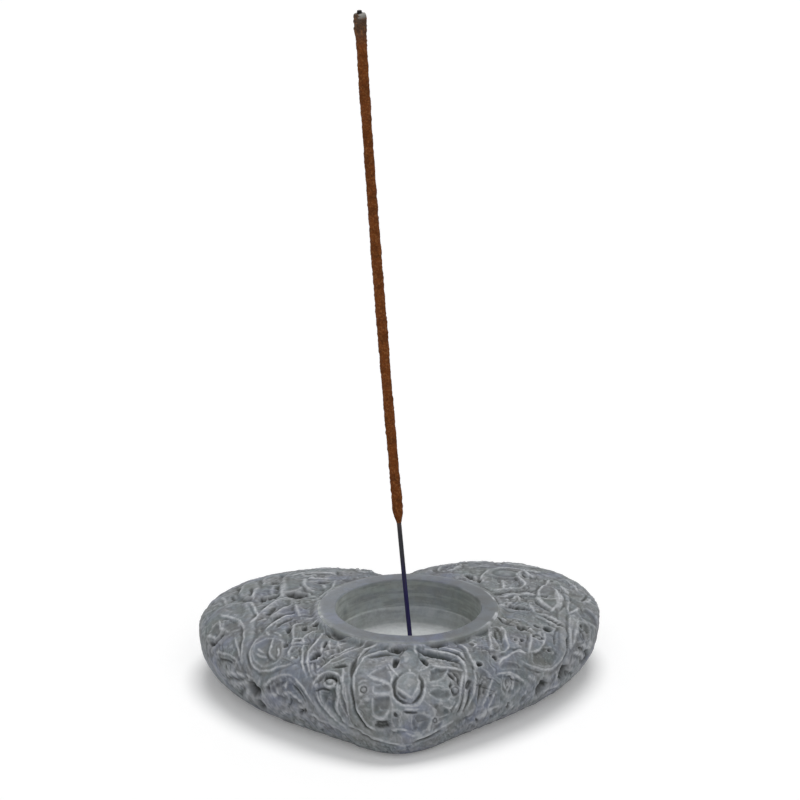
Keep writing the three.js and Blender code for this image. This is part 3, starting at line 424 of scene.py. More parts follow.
    (0.45, 0.7, [(28.6, -30.8), (30.8, -30.0), (33.2, -32.9), (31.2, -34.2), (29.0, -33.7), (28.6, -32.0)]),
    (0.4, 0.65, [(30.0, -32.4), (31.8, -33.0), (30.8, -31.6)]),
    (0.4, 0.5, [(40.2, -29.4), (40.4, -31.4)]),
    (0.45, 0.5, [(40.5, -35.4), (36.0, -37.0), (31.0, -40.3), (27.0, -44.0), (23.2, -49.2)]),
    (0.5, 0.65, [(48.0, -16.4), (51.6, -15.4), (55.6, -12.6)]),
    (0.5, 0.6, [(50.2, -21.8), (54.2, -17.0), (57.5, -12.0)]),
    (0.5, 0.6, [(50.0, -7.6), (54.0, -3.6), (58.0, 0.2)]),
    (0.4, 0.5, [(24.4, -33.6), (24.2, -38.0), (24.4, -43.4)]),
    (0.4, 0.5, [(27.2, -36.0), (27.0, -39.0), (27.6, -42.6)]),
    (0.6, 0.8, [(18.0, -30.4), (18.6, -31.6), (19.1, -33.2)]),
    (0.5, 0.6, [(18.4, -33.6), (19.4, -37.6), (19.8, -42.0)]),
    (0.6, 0.7, [(17.6, -20.6), (18.6, -22.6), (17.8, -24.0)]),
]

# Cut grooves: half width, depth, and the points of the middle line
GROOVES = [
    (0.75, 1.2, [(-9.4, -25.0), (-11.5, -27.4), (-13.4, -30.2), (-14.8, -33.3), (-15.4, -36.6),
                 (-15.6, -40.0)]),
    (0.55, 1.0, [(-15.6, -40.0), (-15.7, -43.0), (-15.6, -46.6), (-15.0, -50.0), (-13.6, -53.0),
                 (-11.4, -55.4)]),
    (0.9, 1.2, [(-11.4, -32.0), (-9.5, -30.6), (-7.4, -30.0), (-5.6, -29.5), (-3.6, -29.6)]),
    (1.15, 1.6, [(2.7, -27.1), (4.3, -28.0), (6.4, -29.1), (8.6, -30.0), (10.8, -30.7), (13.4, -31.7)]),
    (0.6, 0.9, [(8.0, -26.6), (10.5, -27.3), (13.0, -28.3), (14.8, -30.0), (15.8, -31.8)]),
    (0.55, 1.0, [(-12.2, -24.2), (-15.0, -26.8), (-18.6, -29.2), (-22.0, -31.4)]),
    (0.75, 1.2, [(-1.6, -38.1), (-2.9, -39.9), (-3.7, -41.8), (-3.9, -43.9), (-3.2, -45.9),
                 (-1.4, -47.3), (0.5, -47.6)]),
    (0.55, 1.1, [(0.5, -47.6), (2.3, -46.7), (3.5, -44.8), (4.0, -42.8), (3.9, -40.6), (3.2, -38.7)]),
    (0.7, 0.5, [(-3.0, -44.2), (-2.0, -45.4), (-0.4, -46.4)]),
    (0.45, 0.9, [(-1.3, -49.9), (1.0, -50.0), (3.3, -49.6)]),
    (0.6, 1.0, [(15.9, -35.6), (16.4, -38.6), (16.7, -41.4), (16.2, -45.4), (15.4, -48.0)]),
    (0.6, 0.8, [(17.6, -36.8), (18.0, -39.6), (18.2, -43.2), (17.2, -46.6)]),
    (0.6, 0.7, [(12.9, -51.6), (10.7, -54.0), (7.7, -56.1), (4.5, -57.8), (1.3, -59.0)]),
    (0.45, 0.6, [(-19.9, -52.4), (-16.6, -55.2), (-12.9, -57.8), (-8.3, -59.4)]),
    (0.5, 0.9, [(11.0, -36.4), (12.3, -37.6), (13.6, -38.6)]),
    (0.5, 0.9, [(11.8, -38.9), (12.3, -41.2), (13.4, -42.7), (14.6, -42.3)]),
    (0.5, 0.8, [(12.4, -35.8), (13.6, -37.0), (14.4, -39.4)]),
    (0.4, 0.7, [(-10.2, -52.8), (-7.8, -53.0), (-5.4, -52.6)]),
    (0.45, 0.8, [(-10.0, -54.2), (-7.8, -54.4), (-5.4, -54.1)]),
    (0.55, 0.9, [(-44.0, -30.6), (-43.4, -31.6)]),
    (0.5, 0.8, [(-33.4, -35.0), (-32.2, -37.6), (-31.4, -41.4)]),
    (0.9, 1.5, [(-22.6, -14.8), (-21.0, -17.2), (-19.0, -19.4), (-17.2, -21.0)]),
    (0.8, 1.3, [(-20.6, -34.2), (-18.6, -34.0), (-16.6, -34.6)]),
    (0.55, 1.2, [(-23.9, -38.4), (-22.8, -37.2), (-21.2, -37.1), (-20.1, -38.4), (-20.5, -39.8)]),
    (0.5, 0.9, [(-27.0, -40.0), (-24.4, -40.2), (-22.0, -41.0)]),
    (0.45, 0.7, [(-21.2, -49.0), (-21.0, -51.6)]),
    (0.5, 0.8, [(-37.6, -42.8), (-35.6, -43.2), (-33.3, -43.4)]),
    (0.5, 0.6, [(-40.4, -39.0), (-37.6, -39.4)]),
    (0.6, 0.8, [(-34.6, -51.6), (-32.2, -51.6)]),
    (0.5, 0.6, [(-46.6, -42.6), (-44.0, -42.6), (-41.6, -43.2)]),
    (0.6, 0.7, [(-60.5, -14.6), (-57.0, -17.6), (-53.4, -21.2), (-50.2, -23.4)]),
    (0.5, 0.7, [(-58.0, -9.6), (-54.6, -13.4), (-51.2, -17.6)]),
    (0.6, 0.7, [(-62.0, -20.0), (-57.4, -22.4), (-53.0, -24.2)]),
    (1.0, 2.0, [(-31.4, 0.6), (-33.4, -0.6), (-35.4, -1.9), (-37.9, -4.4)]),
    (0.7, 1.0, [(-37.4, 4.6), (-38.6, 1.6), (-39.8, -0.8)]),
    (0.8, 0.9, [(-32.0, -4.4), (-34.8, -6.6), (-37.0, -9.4)]),
    (0.8, 1.6, [(-57.9, -3.6), (-56.8, -5.0), (-55.2, -5.8), (-52.4, -4.8)]),
    (0.7, 1.0, [(-49.4, 28.5), (-49.0, 26.0), (-48.6, 24.0)]),
    (0.6, 0.9, [(-50.6, 20.0), (-50.0, 17.6), (-49.4, 15.6)]),
    (0.7, 1.0, [(-56.8, 21.6), (-56.4, 19.5)]),
    (0.7, 0.9, [(-45.0, 22.0), (-44.8, 18.5), (-45.0, 15.0)]),
    (1.0, 1.0, [(-36.8, 33.6), (-36.2, 31.0), (-36.6, 28.6)]),
    (0.6, 0.8, [(-20.4, 33.0), (-20.1, 29.0)]),
    (1.25, 2.1, [(23.5, 12.9), (25.5, 14.0), (28.3, 15.2), (30.9, 16.0), (33.4, 16.8), (35.6, 17.2)]),
    (0.8, 1.2, [(42.4, 22.8), (43.9, 21.3), (45.0, 19.4)]),
    (0.6, 1.0, [(41.6, 29.4), (41.0, 26.8)]),
    (0.6, 0.9, [(35.6, 9.8), (36.6, 7.4), (38.4, 4.8), (40.0, 2.8)]),
    (0.8, 1.3, [(37.6, -0.1), (40.3, -1.4), (44.2, -3.0)]),
    (0.8, 1.3, [(27.4, 6.0), (28.3, 3.9)]),
    (0.8, 1.6, [(60.2, 6.6), (58.4, 3.4), (55.8, -0.6)]),
    (0.5, 0.9, [(62.4, 5.0), (60.4, 1.6), (58.0, -2.0)]),
    (0.6, 0.7, [(52.0, 26.0), (51.0, 21.0), (49.8, 17.0)]),
    (0.5, 0.9, [(41.7, -9.0), (41.8, -11.8)]),
    (0.5, 0.9, [(23.9, -12.4), (24.1, -15.8), (24.4, -18.6)]),
    (0.5, 0.8, [(30.8, -34.9), (33.4, -33.6)]),
    (0.8, 1.0, [(46.0, -6.0), (46.8, -9.4)]),
    (0.6, 0.8, [(24.4, -46.8), (26.8, -48.0)]),
    (0.6, 0.7, [(31.0, -43.6), (33.2, -44.2)]),
    (0.6, 0.8, [(21.4, -35.8), (21.2, -38.6), (22.2, -42.4)]),
    (0.5, 0.7, [(53.0, -20.4), (56.6, -15.0)]),
    (0.5, 0.8, [(51.4, -4.2), (55.4, -0.6)]),
    (0.5, 0.7, [(57.0, -8.0), (60.4, -4.4)]),
    (0.5, 0.6, [(39.0, -41.0), (43.0, -38.6)]),
    (0.5, 0.6, [(33.0, -48.6), (37.0, -46.0)]),
]

# Deep pockets with steep walls: middle, length, width, direction in degrees, depth
POCKETS = [
    (-3.3, -33.6, 4.6, 2.1, 80, 1.9),
    (4.3, -32.6, 4.6, 2.0, 108, 1.8),
    (-3.6, -27.3, 4.6, 2.4, 8, 1.7),
    (-8.0, -53.6, 5.0, 2.0, 2, 0.8),
    (-3.6, -51.0, 1.6, 1.4, 0, 0.8),
    (19.6, -31.1, 2.1, 1.7, 0, 1.5),
    (17.2, -38.6, 1.5, 3.4, 0, 0.8),
    (-33.0, -11.6, 3.8, 1.5, 84, 1.4),
    (-28.6, -11.6, 3.6, 1.7, 82, 1.4),
    (-30.4, -18.8, 1.8, 1.2, 0, 1.4),
    (-33.8, -19.6, 2.8, 1.5, 85, 0.7),
    (-25.3, -27.6, 4.6, 2.2, 48, 2.0),
    (-22.7, -22.2, 4.0, 1.1, 80, 1.3),
    (-25.4, -9.6, 2.4, 1.7, 15, 1.3),
    (-50.2, -27.2, 7.6, 4.6, 168, 2.8),
    (-54.6, -30.4, 6.6, 4.0, 160, 2.8),
    (-43.4, -31.2, 2.2, 1.3, -10, 1.2),
    (-36.0, -43.0, 1.4, 1.0, -15, 1.0),
    (-33.5, -43.2, 1.4, 1.0, -15, 1.0),
    (-37.4, -38.6, 1.6, 1.0, 20, 0.7),
    (-41.2, 12.0, 4.4, 2.2, 100, 1.7),
    (-38.2, 12.8, 4.4, 2.8, 40, 1.7),
    (-31.4, 12.8, 7.6, 3.8, -6, 2.2),
    (-26.8, 10.4, 2.0, 1.6, 0, 1.4),
    (-38.2, 25.0, 4.6, 2.4, -62, 1.6),
    (-24.4, 22.6, 5.0, 1.9, 0, 1.6),
    (-25.2, 28.0, 5.4, 2.6, 4, 1.8),
    (-30.0, 26.0, 3.4, 1.2, 6, 1.0),
    (-30.6, 34.4, 6.4, 4.0, -30, 2.0),
    (-25.0, 33.4, 7.0, 2.6, 0, 1.8),
    (33.2, 29.0, 3.4, 1.4, 100, 0.8),
    (38.6, 13.2, 2.5, 1.9, 20, 1.6),
    (30.6, 3.7, 8.4, 3.0, -4, 1.6),
    (17.6, 27.4, 4.4, 2.6, 105, 1.7),
    (20.2, 24.0, 3.2, 1.8, 80, 1.2),
    (50.0, 3.2, 2.4, 1.5, 60, 1.0),
    (39.3, -6.4, 3.4, 2.2, 20, 1.6),
    (36.1, -6.6, 1.7, 2.4, 60, 1.5),
    (26.8, -7.4, 6.5, 1.8, -34, 1.4),
    (31.6, -9.6, 4.4, 3.4, -8, 1.1),
    (34.1, -8.3, 1.3, 1.3, 0, 1.2),
    (38.0, -11.9, 1.2, 1.6, 0, 1.0),
    (35.0, -12.4, 1.2, 1.6, 0, 1.0),
    (31.9, -16.0, 1.5, 1.4, 0, 1.5),
    (30.0, -16.6, 1.1, 1.3, 0, 1.1),
    (41.0, -14.6, 1.8, 1.2, 30, 1.0),
    (47.0, -23.4, 7.2, 5.6, 30, 2.8),
    (53.4, -12.2, 9.5, 4.6, 38, 2.8),
    (61.6, 4.6, 9.0, 3.8, 62, 2.4),
    (36.5, -37.2, 2.8, 1.5, -12, 1.2),
    (31.4, -30.6, 1.2, 0.8, -20, 0.8),
    (26.0, -39.0, 1.5, 1.3, 0, 1.0),
    (24.2, -26.6, 1.8, 1.3, 20, 1.2),
]

# Broken and drilled places, pale with dust: middle, length, width, direction in degrees, roughness
CRUMBLES = [
    (7.5, -32.6, 6.4, 3.4, -6, 0.45),
    (-9.0, -33.4, 10.0, 5.0, 28, 0.22),
    (-4.8, -36.4, 3.5, 3.0, 20, 0.25),
    (12.8, -32.6, 3.6, 3.0, -40, 0.4),
    (-12.3, -45.0, 3.5, 6.5, 0, 0.3),
    (4.8, -49.4, 3.5, 1.8, 10, 0.3),
    (12.8, -38.8, 4.2, 6.6, 0, 0.45),
    (-31.8, -26.3, 2.8, 2.4, -20, 0.55),
    (-31.0, -23.0, 3.6, 4.0, 80, 0.35),
    (-25.4, -32.0, 4.6, 5.0, -20, 0.4),
    (-20.4, -26.0, 8.0, 10.0, 0, 0.45),
    (-25.6, -36.0, 3.0, 3.0, 0, 0.3),
    (-41.0, -2.8, 3.4, 3.8, 70, 0.5),
    (-41.3, -8.0, 4.0, 4.0, 0, 0.45),
    (-37.6, 9.6, 3.4, 4.0, 70, 0.35),
    (-26.8, 7.6, 3.0, 6.0, 80, 0.3),
    (-34.8, -42.6, 7.0, 3.4, -20, 0.45),
    (-27.0, 28.0, 12.0, 6.0, 0, 0.3),
    (34.5, -10.4, 9.5, 7.5, -20, 0.45),
    (28.5, -6.2, 8.0, 5.0, -20, 0.55),
    (23.8, -22.4, 4.0, 7.5, 10, 0.5),
    (24.6, -26.8, 3.4, 3.4, 0, 0.5),
    (30.6, -17.6, 5.0, 6.5, 30, 0.3),
    (41.4, -14.4, 3.6, 3.0, 30, 0.35),
    (27.0, 20.5, 5.0, 8.5, 0, 0.4),
    (20.0, 25.0, 8.0, 7.0, 60, 0.45),
    (30.5, 9.8, 10.0, 6.0, -10, 0.45),
    (37.5, 1.8, 6.0, 4.0, -40, 0.35),
    (30.8, -32.6, 5.0, 4.0, 20, 0.25),
    (27.2, -44.2, 8.0, 3.6, 20, 0.35),
    (26.0, -47.4, 5.0, 2.4, 18, 0.3),
    (22.6, -38.0, 3.0, 8.0, 0, 0.35),
    (18.2, -22.0, 5.0, 6.0, 20, 0.4),
]

# Small drilled rings and dots: middle and radius
CURLS = [
    (-12.3, -43.2, 1.0),
    (13.7, -41.3, 1.2),
    (8.7, -50.9, 0.9),
    (36.4, -12.0, 1.4),
    (24.3, -26.5, 0.8),
]

# Raised dots: middle, radius and height
DOTS = [
    (-21.8, -38.6, 1.0, 1.4),
    (-17.5, -37.4, 0.9, 1.0),
    (-26.0, -38.6, 0.9, 0.8),
    (-11.6, -46.5, 1.0, 0.6),
    (22.7, -24.0, 1.2, 0.8),
    (0.3, -42.4, 0.5, 0.35),
    (-47.5, -19.2, 0.9, 0.6),
    (48.1, -7.2, 0.9, 0.6),
]

# Leaves of the back and the sides: middle, length, width, direction in degrees
BACK_LEAVES = [
    (-12.5, 33.5, 8.0, 4.5, 110),
    (12.0, 35.0, 11.0, 5.0, 60),
    (-38.0, 50.0, 13.0, 6.0, 20),
    (-52.0, 40.0, 13.0, 5.5, 48),
    (-24.0, 44.0, 11.0, 6.0, -10),
    (20.0, 47.0, 13.0, 6.0, 40),
    (33.0, 45.0, 13.0, 6.5, 5),
    (28.0, 58.0, 13.0, 6.0, 15),
    (45.0, 50.0, 14.0, 6.0, -35),
    (59.0, 36.0, 13.0, 5.5, -60),
]

# Places kept lighter or darker than their surroundings: middle, length, width, direction in degrees, and tone
TONES = [
    (0.4, -43.6, 27.0, 22.5, 0, 0.32),
    (-0.5, -31.6, 7.0, 1.6, 90, 0.5),
    (-33.0, 8.0, 13.0, 18.0, 0, -0.2),
    (-38.0, 20.0, 36.0, 24.0, 0, -0.16),
    (38.0, 24.0, 34.0, 26.0, 0, -0.16),
    (-44.0, -6.0, 13.0, 16.0, 0, -0.16),
    (52.0, 6.0, 9.0, 16.0, 0, -0.14),
    (30.0, 9.0, 16.0, 24.0, -10, -0.22),
    (-27.0, -14.0, 12.0, 12.0, 0, -0.12),
    (24.0, -14.0, 5.0, 10.0, 0, -0.25),
    (39.3, 18.2, 8.0, 4.2, 92, -0.4),
    (42.4, 11.6, 15.0, 1.7, 92, 0.6),
    (47.3, 0.4, 13.0, 2.2, 92, 0.4),
    (44.6, -10.0, 12.0, 2.4, 100, 0.22),
    (39.4, -22.6, 12.0, 2.4, 28, 0.25),
    (-33.1, 3.4, 8.0, 2.4, 58, -0.3),
    (-27.0, 0.0, 6.0, 4.0, 60, -0.25),
    (-26.0, 5.4, 5.0, 6.0, 0, 0.15),
    (-34.6, -19.6, 5.0, 8.0, 20, -0.22),
    (-45.6, -24.0, 3.0, 9.0, 30, 0.12),
    (-50.0, -31.8, 14.0, 3.4, -12, 0.16),
    (-29.0, -44.0, 3.0, 16.0, 8, 0.12),
    (36.0, 22.0, 5.0, 12.0, 0, -0.2),
    (47.0, 22.0, 5.0, 9.0, 20, 0.12),
    (29.0, 22.0, 10.0, 3.0, 20, 0.2),
    (20.0, 34.0, 12.0, 4.0, 60, -0.2),
    (-20.0, 36.0, 14.0, 3.0, 10, -0.3),
    (-14.0, 32.0, 12.0, 2.0, 10, 0.25),
    (-9.5, -33.8, 11.0, 6.0, 28, 0.3),
    (8.2, -32.6, 8.0, 4.0, -6, 0.3),
    (-12.4, -45.5, 3.4, 7.0, 0, 0.2),
    (13.2, -38.6, 3.4, 7.5, 0, -0.4),
    (-8.0, -53.6, 5.0, 2.4, 0, -0.4),
    (-1.0, -57.6, 14.0, 3.0, 0, 0.12),
    (17.0, -42.0, 2.6, 12.0, 0, -0.25),
    (-18.8, -45.0, 1.8, 9.0, 0, -0.25),
    (-20.5, -26.0, 8.0, 7.0, 30, 0.16),
    (-24.0, -19.5, 4.0, 8.0, 0, -0.2),
    (-39.0, -20.0, 9.0, 12.0, 0, 0.06),
    (-37.5, -33.0, 6.0, 3.0, -20, -0.35),
    (-30.5, -18.6, 3.0, 2.6, 0, -0.35),
    (-26.6, 31.0, 17.0, 8.0, 5, -0.25),
    (-32.0, 24.0, 5.0, 17.0, 0, 0.12),
    (-40.0, -2.6, 5.0, 6.0, 20, -0.22),
    (-33.6, -6.2, 7.0, 4.0, 30, -0.4),
    (-37.0, 7.6, 5.0, 5.0, 0, 0.2),
    (-36.8, 12.8, 12.0, 4.0, 8, -0.3),
    (-49.0, 8.0, 7.0, 12.0, 10, 0.08),
    (-45.0, -37.0, 12.0, 7.0, -20, -0.14),
    (24.0, -22.4, 4.0, 8.0, 0, 0.3),
    (30.0, -17.4, 6.0, 8.0, 20, 0.2),
    (31.0, -9.6, 5.0, 4.0, 0, -0.4),
    (39.5, -18.6, 9.0, 5.0, 45, -0.2),
    (29.0, -27.4, 8.0, 3.6, 25, -0.3),
    (38.6, -26.0, 5.0, 2.0, 15, 0.3),
    (27.6, -44.4, 8.0, 3.6, 20, 0.22),
    (22.6, -39.4, 3.0, 9.0, 0, -0.3),
    (17.4, 27.0, 4.0, 6.0, 0, -0.4),
    (27.0, 20.6, 3.6, 8.0, 0, 0.25),
    (29.4, 15.4, 12.0, 3.0, 20, -0.5),
    (38.8, 17.6, 4.0, 8.0, 0, -0.3),
    (31.0, 4.0, 8.0, 4.0, 0, -0.3),
    (27.4, -6.8, 7.0, 4.6, -20, -0.3),
    (42.0, -31.6, 4.0, 4.0, 0, -0.25),
    (52.0, -11.0, 9.0, 5.0, 35, -0.3),
    (40.0, 27.0, 10.0, 7.0, 0, -0.12),
    (52.0, 20.0, 9.0, 14.0, 0, -0.12),
]

# The gap beside the rim: bearing in degrees, spread in degrees, depth
RIM_GAPS = [
    (-139, 6, 1.2),
    (-72, 6, 0.9),
    (-56, 8, 0.6),
    (-34, 10, 0.7),
    (17, 6, 0.9),
    (159, 4, 0.6),
    (70, 10, 0.3),
]

# Rows and columns of the stone's mesh. The columns stand closer together over the front and at the notch:
# how much closer, over how wide a bearing, and where the notch is.
COLUMNS = 660
TOP_ROWS = 92
UNDER_ROWS = 24
FRONT_CROWDING = 0.75
FRONT_SPREAD = 1.15
NOTCH_CROWDING = 1.0
NOTCH_SPREAD = 0.16
NOTCH_BEARING = 1.65

# Handles of the curves that make the heart's outline, as shares of the way to the next point
NOTCH_HANDLE = 0.62
LOBE_HANDLE = 0.42
ROUND_HANDLE = 0.5523  # as on a quarter circle
LEFT_SIDE_HANDLE = 0.37
RIGHT_SIDE_HANDLE = 0.34
TIP_HANDLE = 0.42
SHOULDER_POWER = 2.3  # how flat the top runs before it rounds over to the widest line

# Towards the widest line the ground between the motifs comes up to this share of its depth, over this
# stretch of surface above the line, in millimetres
BORDER_DEPTH_SHARE = 0.3
THINNING_START = 2.0
THINNING_END = 14.0

# The finished carving, in millimetres
PLAIN_BORDER = 2.0  # surface above the base edge without carving
FULL_CARVING = 4.5  # from here up the carving has its full depth
CREST_LIMIT = 0.15  # crests that would stand this high are worn level with the dressed surface
CREST_SOFTNESS = 0.02  # how softly lower crests are worn, in square millimetres
RIM_FILLET = 0.6  # rise of the carving where it meets the rim
RIM_FILLET_WIDTH = 1.6

# Wear, soot and painted shade of the stone: the softened surfaces that show thin and wide crests
THIN_SOFTENINGS = 3
WIDE_SOFTENINGS = 36
MOTIF_SHARE = 0.85  # of the motifs' own pale and dark
# Painted shade over the lobes at the back.
BACK_SHADE = 0.12  # the lobes at the back are a little darker

# Rows of the cup with worn edges and painted highlights, counted from the outermost
RIM_EDGE = slice(-4, None)
MOUTH_EDGE = slice(-10, -8)
STEP_EDGE = slice(-19, -15)
FLOOR_EDGE = slice(-23, -21)

# Rows and sides of the stick's meshes
CORE_ROWS = 420
CORE_SIDES = 32
PASTE_ROWS = 640
BORE_ROWS = 60
PASTE_SIDES = 56

# The stick's small lengths, in millimetres
CORE_ROUGHNESS = 0.035  # how far its flats and fibres lie under its round
BORE_GAP = 0.03  # between the core and the paste
PASTE_EDGE = 0.12  # thickness of the paste where it starts
PASTE_ROUGHNESS = 0.1  # how far its surface lies under its round
CROWN = 0.6  # top of the paste that rounds in
CROWN_DROP = 0.35
GIRTH = 9.6  # round the paste
LUMPS = ((0.1, 1.2, 31), (0.075, 0.6, 32), (0.05, 0.3, 33))  # height, size and seed

# Stage
FLOOR_HALF = 3.0
FLOOR_DROP = 0.0001  # below the underside of the stone
FLOOR_GLOW = 0.15  # white of the floor that only the camera and mirrors see
AMBIENT = 0.26
LIGHTS = (  # name, direction it comes from, strength, apparent size in degrees
    ("soft_top_light", (0.06, 0.3, 1.0), 1.72, 34),
    ("front_fill", (0.1, -0.9, 0.85), 0.68, 60),
)
CAMERA_LENS = 161.5
CAMERA_SENSOR = 36.0
CAMERA_PLACE = (0.0023, -0.92321, 0.4098)
CAMERA_DOWN = 19.307  # degrees below level
CAMERA_TURN = 0.1433


def smooth(low, high, value):
    """Rises from 0 at low to 1 at high in an S."""
    t = np.clip((value - low) / (high - low), 0, 1)
    return t * t * (3 - 2 * t)


def hump(distance):
    """1 in the middle, falling smoothly to 0 at distance 1."""
    return np.clip(1 - distance**2, 0, None) ** 2


def bell(distance):
    """1 in the middle, falling in a bell curve to about a third at distance 1."""
    return np.exp(-(distance**2))


def from_tip(bearings):
    """Bearings counted from the tip, from minus half a turn to half a turn."""
    return np.mod(bearings - TIP + math.pi, TURN) - math.pi


def grain(x, y, size, seed):
    """Cloudy value noise from -1 to 1: random numbers on a square lattice, blended between its knots."""
    knots = 128
    lattice = np.random.default_rng(seed).uniform(-1, 1, (knots, knots))
    u, v = x / size, y / size
    i, j = np.floor(u).astype(int), np.floor(v).astype(int)
    s, t = smooth(0, 1, u - i), smooth(0, 1, v - j)
    i0, i1, j0, j1 = i % knots, (i + 1) % knots, j % knots, (j + 1) % knots
    low = lattice[i0, j0] * (1 - s) + lattice[i1, j0] * s
    high = lattice[i0, j1] * (1 - s) + lattice[i1, j1] * s
    return low * (1 - t) + high * t


def smooth_line(points, steps=6):
    """A curve through the points, each stretch a cubic whose slopes come from the neighbouring points."""
    p = np.array(points, float)
    p = np.vstack([2 * p[0] - p[1], p, 2 * p[-1] - p[-2]])
    t = np.linspace(0, 1, steps, endpoint=False)[None, :, None]
    a, b, c, d = (p[k : len(p) - 3 + k, None, :] for k in range(4))
    curve = 0.5 * (2 * b + (c - a) * t + (2 * a - 5 * b + 4 * c - d) * t**2 + (3 * b - a - 3 * c + d) * t**3)
    return np.vstack([curve.reshape(-1, 2), p[-2]])


def scatter(across, down, seed):
    """An even spread of values from 0 to 1, one for each cell of a grid."""
    return np.mod(np.sin(across * 12.99 + down * 78.23 + seed * 3.7) * 43758.5, 1.0)


class Relief:
    """Heights over the surface laid flat, in millimetres, where 0 is the dressed surface.

    With them go shares from 0 to 1: how pale a crest is worn, how dark a hollow is, how dusty a break is,
    and how calm a smooth motif keeps its surface. Each kind of motif is one method. The numbers in the
    methods were chosen one by one: they are widths and depths in millimetres, or shares of a motif's size.
    """

    def __init__(self, x, y, ground):
        self.x = x + 0.2 * grain(x, y, 2.3, 31) + 0.1 * grain(x, y, 1.1, 32)
        self.y = y + 0.2 * grain(x, y, 2.3, 33) + 0.1 * grain(x, y, 1.1, 34)
        self.height = -ground
        self.pale, self.dark, self.dust, self.calm = (np.zeros(x.shape) for _ in range(4))
        self.wear = np.clip(0.9 + 0.4 * grain(x, y, 1.9, 35) + 0.3 * grain(x, y, 0.8, 36), 0.35, 1.15)
        self.cut = np.clip(0.62 + 0.9 * grain(x, y, 2.8, 37), 0.1, 1.0)

    def line(self, points, reach):
        """Which places lie near a smooth line, their distance from it, and a fade at the line's ends.

        How far a place is on the line's left, from 0 to 1, is kept in self.left.
        """
        curve = smooth_line(points)
        low, high = curve.min(0) - reach, curve.max(0) + reach
        near = (self.x > low[0]) & (self.x < high[0]) & (self.y > low[1]) & (self.y < high[1])
        place = np.stack([self.x[near], self.y[near]], 1)
        start, step = curve[:-1], np.diff(curve, axis=0)
        size = np.hypot(*step.T)
        before = np.concatenate([[0], np.cumsum(size)])
        away = place[:, None, :] - start
        share = np.clip((away * step).sum(2) / np.maximum(size, 1e-9) ** 2, 0, 1)
        gap = np.hypot(*np.moveaxis(away - share[..., None] * step, 2, 0))
        nearest = gap.argmin(1)
        rows = np.arange(len(place))
        along = before[nearest] + share[rows, nearest] * size[nearest]
        fade = smooth(-0.1, 0.25, np.minimum(along, before[-1] - along) / before[-1])
        ahead, off = step[nearest], away[rows, nearest]
        leftward = (ahead[:, 0] * off[:, 1] - ahead[:, 1] * off[:, 0]) / size[nearest]
        self.left = smooth(-0.25, 0.25, leftward)
        return near, gap[rows, nearest], fade

    def darken(self, amount, near=...):
        """Dark comes up to an amount where it was less."""
        self.dark[near] = np.maximum(self.dark[near], amount)

    def lighten(self, amount, near=...):
        """Pale comes up to an amount where it was less."""
        self.pale[near] = np.maximum(self.pale[near], amount)

    def turned(self, x, y, length, width, turn):
        """Places along and across a turned shape, where 1 is half its length or width."""
        c, s = math.cos(math.radians(turn)), math.sin(math.radians(turn))
        dx, dy = self.x - x, self.y - y
        return (dx * c + dy * s) / (length / 2), (dy * c - dx * s) / (width / 2)

    def oval(self, *shape):
        """Distance from the middle of a turned oval, where 1 is its edge."""
        return np.hypot(*self.turned(*shape))

    def plate(self, x, y, length, width, turn, level):
        """A broad place raised to a level, with fewer marks than the ground."""
        share = 1 - smooth(0.85, 1.12, self.oval(x, y, length, width, turn))
        self.height += (np.maximum(level, self.height) - self.height) * share
        self.pale, self.dark = self.pale * (1 - 0.6 * share), self.dark * (1 - 0.6 * share)
        self.calm = np.maximum(self.calm, 0.5 * share)

    def band(self, half_width, level, points):
        """A rounded stem, painted dark where it meets the ground, partly soot and partly painted shade."""
        near, gap, _ = self.line(points, half_width * 1.6)
        distance = gap / half_width
        rounded = level - 0.35 * distance**2
        share = 1 - smooth(0.85, 1.3, distance)
        self.height[near] += (np.maximum(rounded, self.height[near]) - self.height[near]) * share
        self.dark[near] = np.maximum(self.dark[near] * (1 - share), 0.35 * hump((distance - 1.25) / 0.35))
        self.pale[near] = self.pale[near] * (1 - share) + 0.02 * share
        self.calm[near] = np.maximum(self.calm[near], 0.8 * share)

    def dome(self, x, y, length, width, turn, level):
        """A smooth rounded boss, painted dark round its foot, partly soot and partly painted shade."""
        distance = self.oval(x, y, length, width, turn)
        share = 1 - smooth(0.85, 1.1, distance)
        self.height += (level - 0.7 * distance**2 - self.height) * share
        self.dark = np.maximum(self.dark * (1 - share), 0.5 * hump((distance - 1.15) / 0.25))
        self.pale *= 1 - share
        self.calm = np.maximum(self.calm, share)

    def ridge(self, half_width, height, points):
        """The worn pale edge of a step: a crest with higher ground on its left and a cut on its right, the
        cut painted dark as a painted shadow.
        """
        half_width = 0.85 * half_width
        near, gap, fade = self.line(points, 3.5 * half_width + 1.5)
        distance = gap / (half_width * (0.5 + 0.5 * fade))
        foot = bell((gap - 1.25 * half_width - 0.35) / 0.38) * fade * self.cut[near]
        foot *= smooth(0.28, 0.6, half_width) * (1 - 0.8 * self.left)
        self.height[near] -= 0.34 * foot * (1 - 0.8 * self.pale[near])
        self.darken(0.75 * foot * (1 - 0.7 * self.pale[near]), near)
        top = np.maximum(height - 0.75 - self.height[near], 0.12) * smooth(0.1, 0.6, half_width)
        share = 0.45 * bell(distance / 1.5) + 0.55 * bell(distance / 0.6)
        step = 0.55 * self.left * bell(gap / 2.8)
        self.height[near] += top * np.maximum(0.68 * share, step) * (0.15 + 0.85 * fade)
        pale = 1.3 * bell(gap / 0.29) * (0.3 + 0.7 * fade) * self.wear[near] * min(1.0, height + 0.3)
        self.dark[near] *= 1 - 0.8 * bell(distance)
        self.lighten(pale, near)

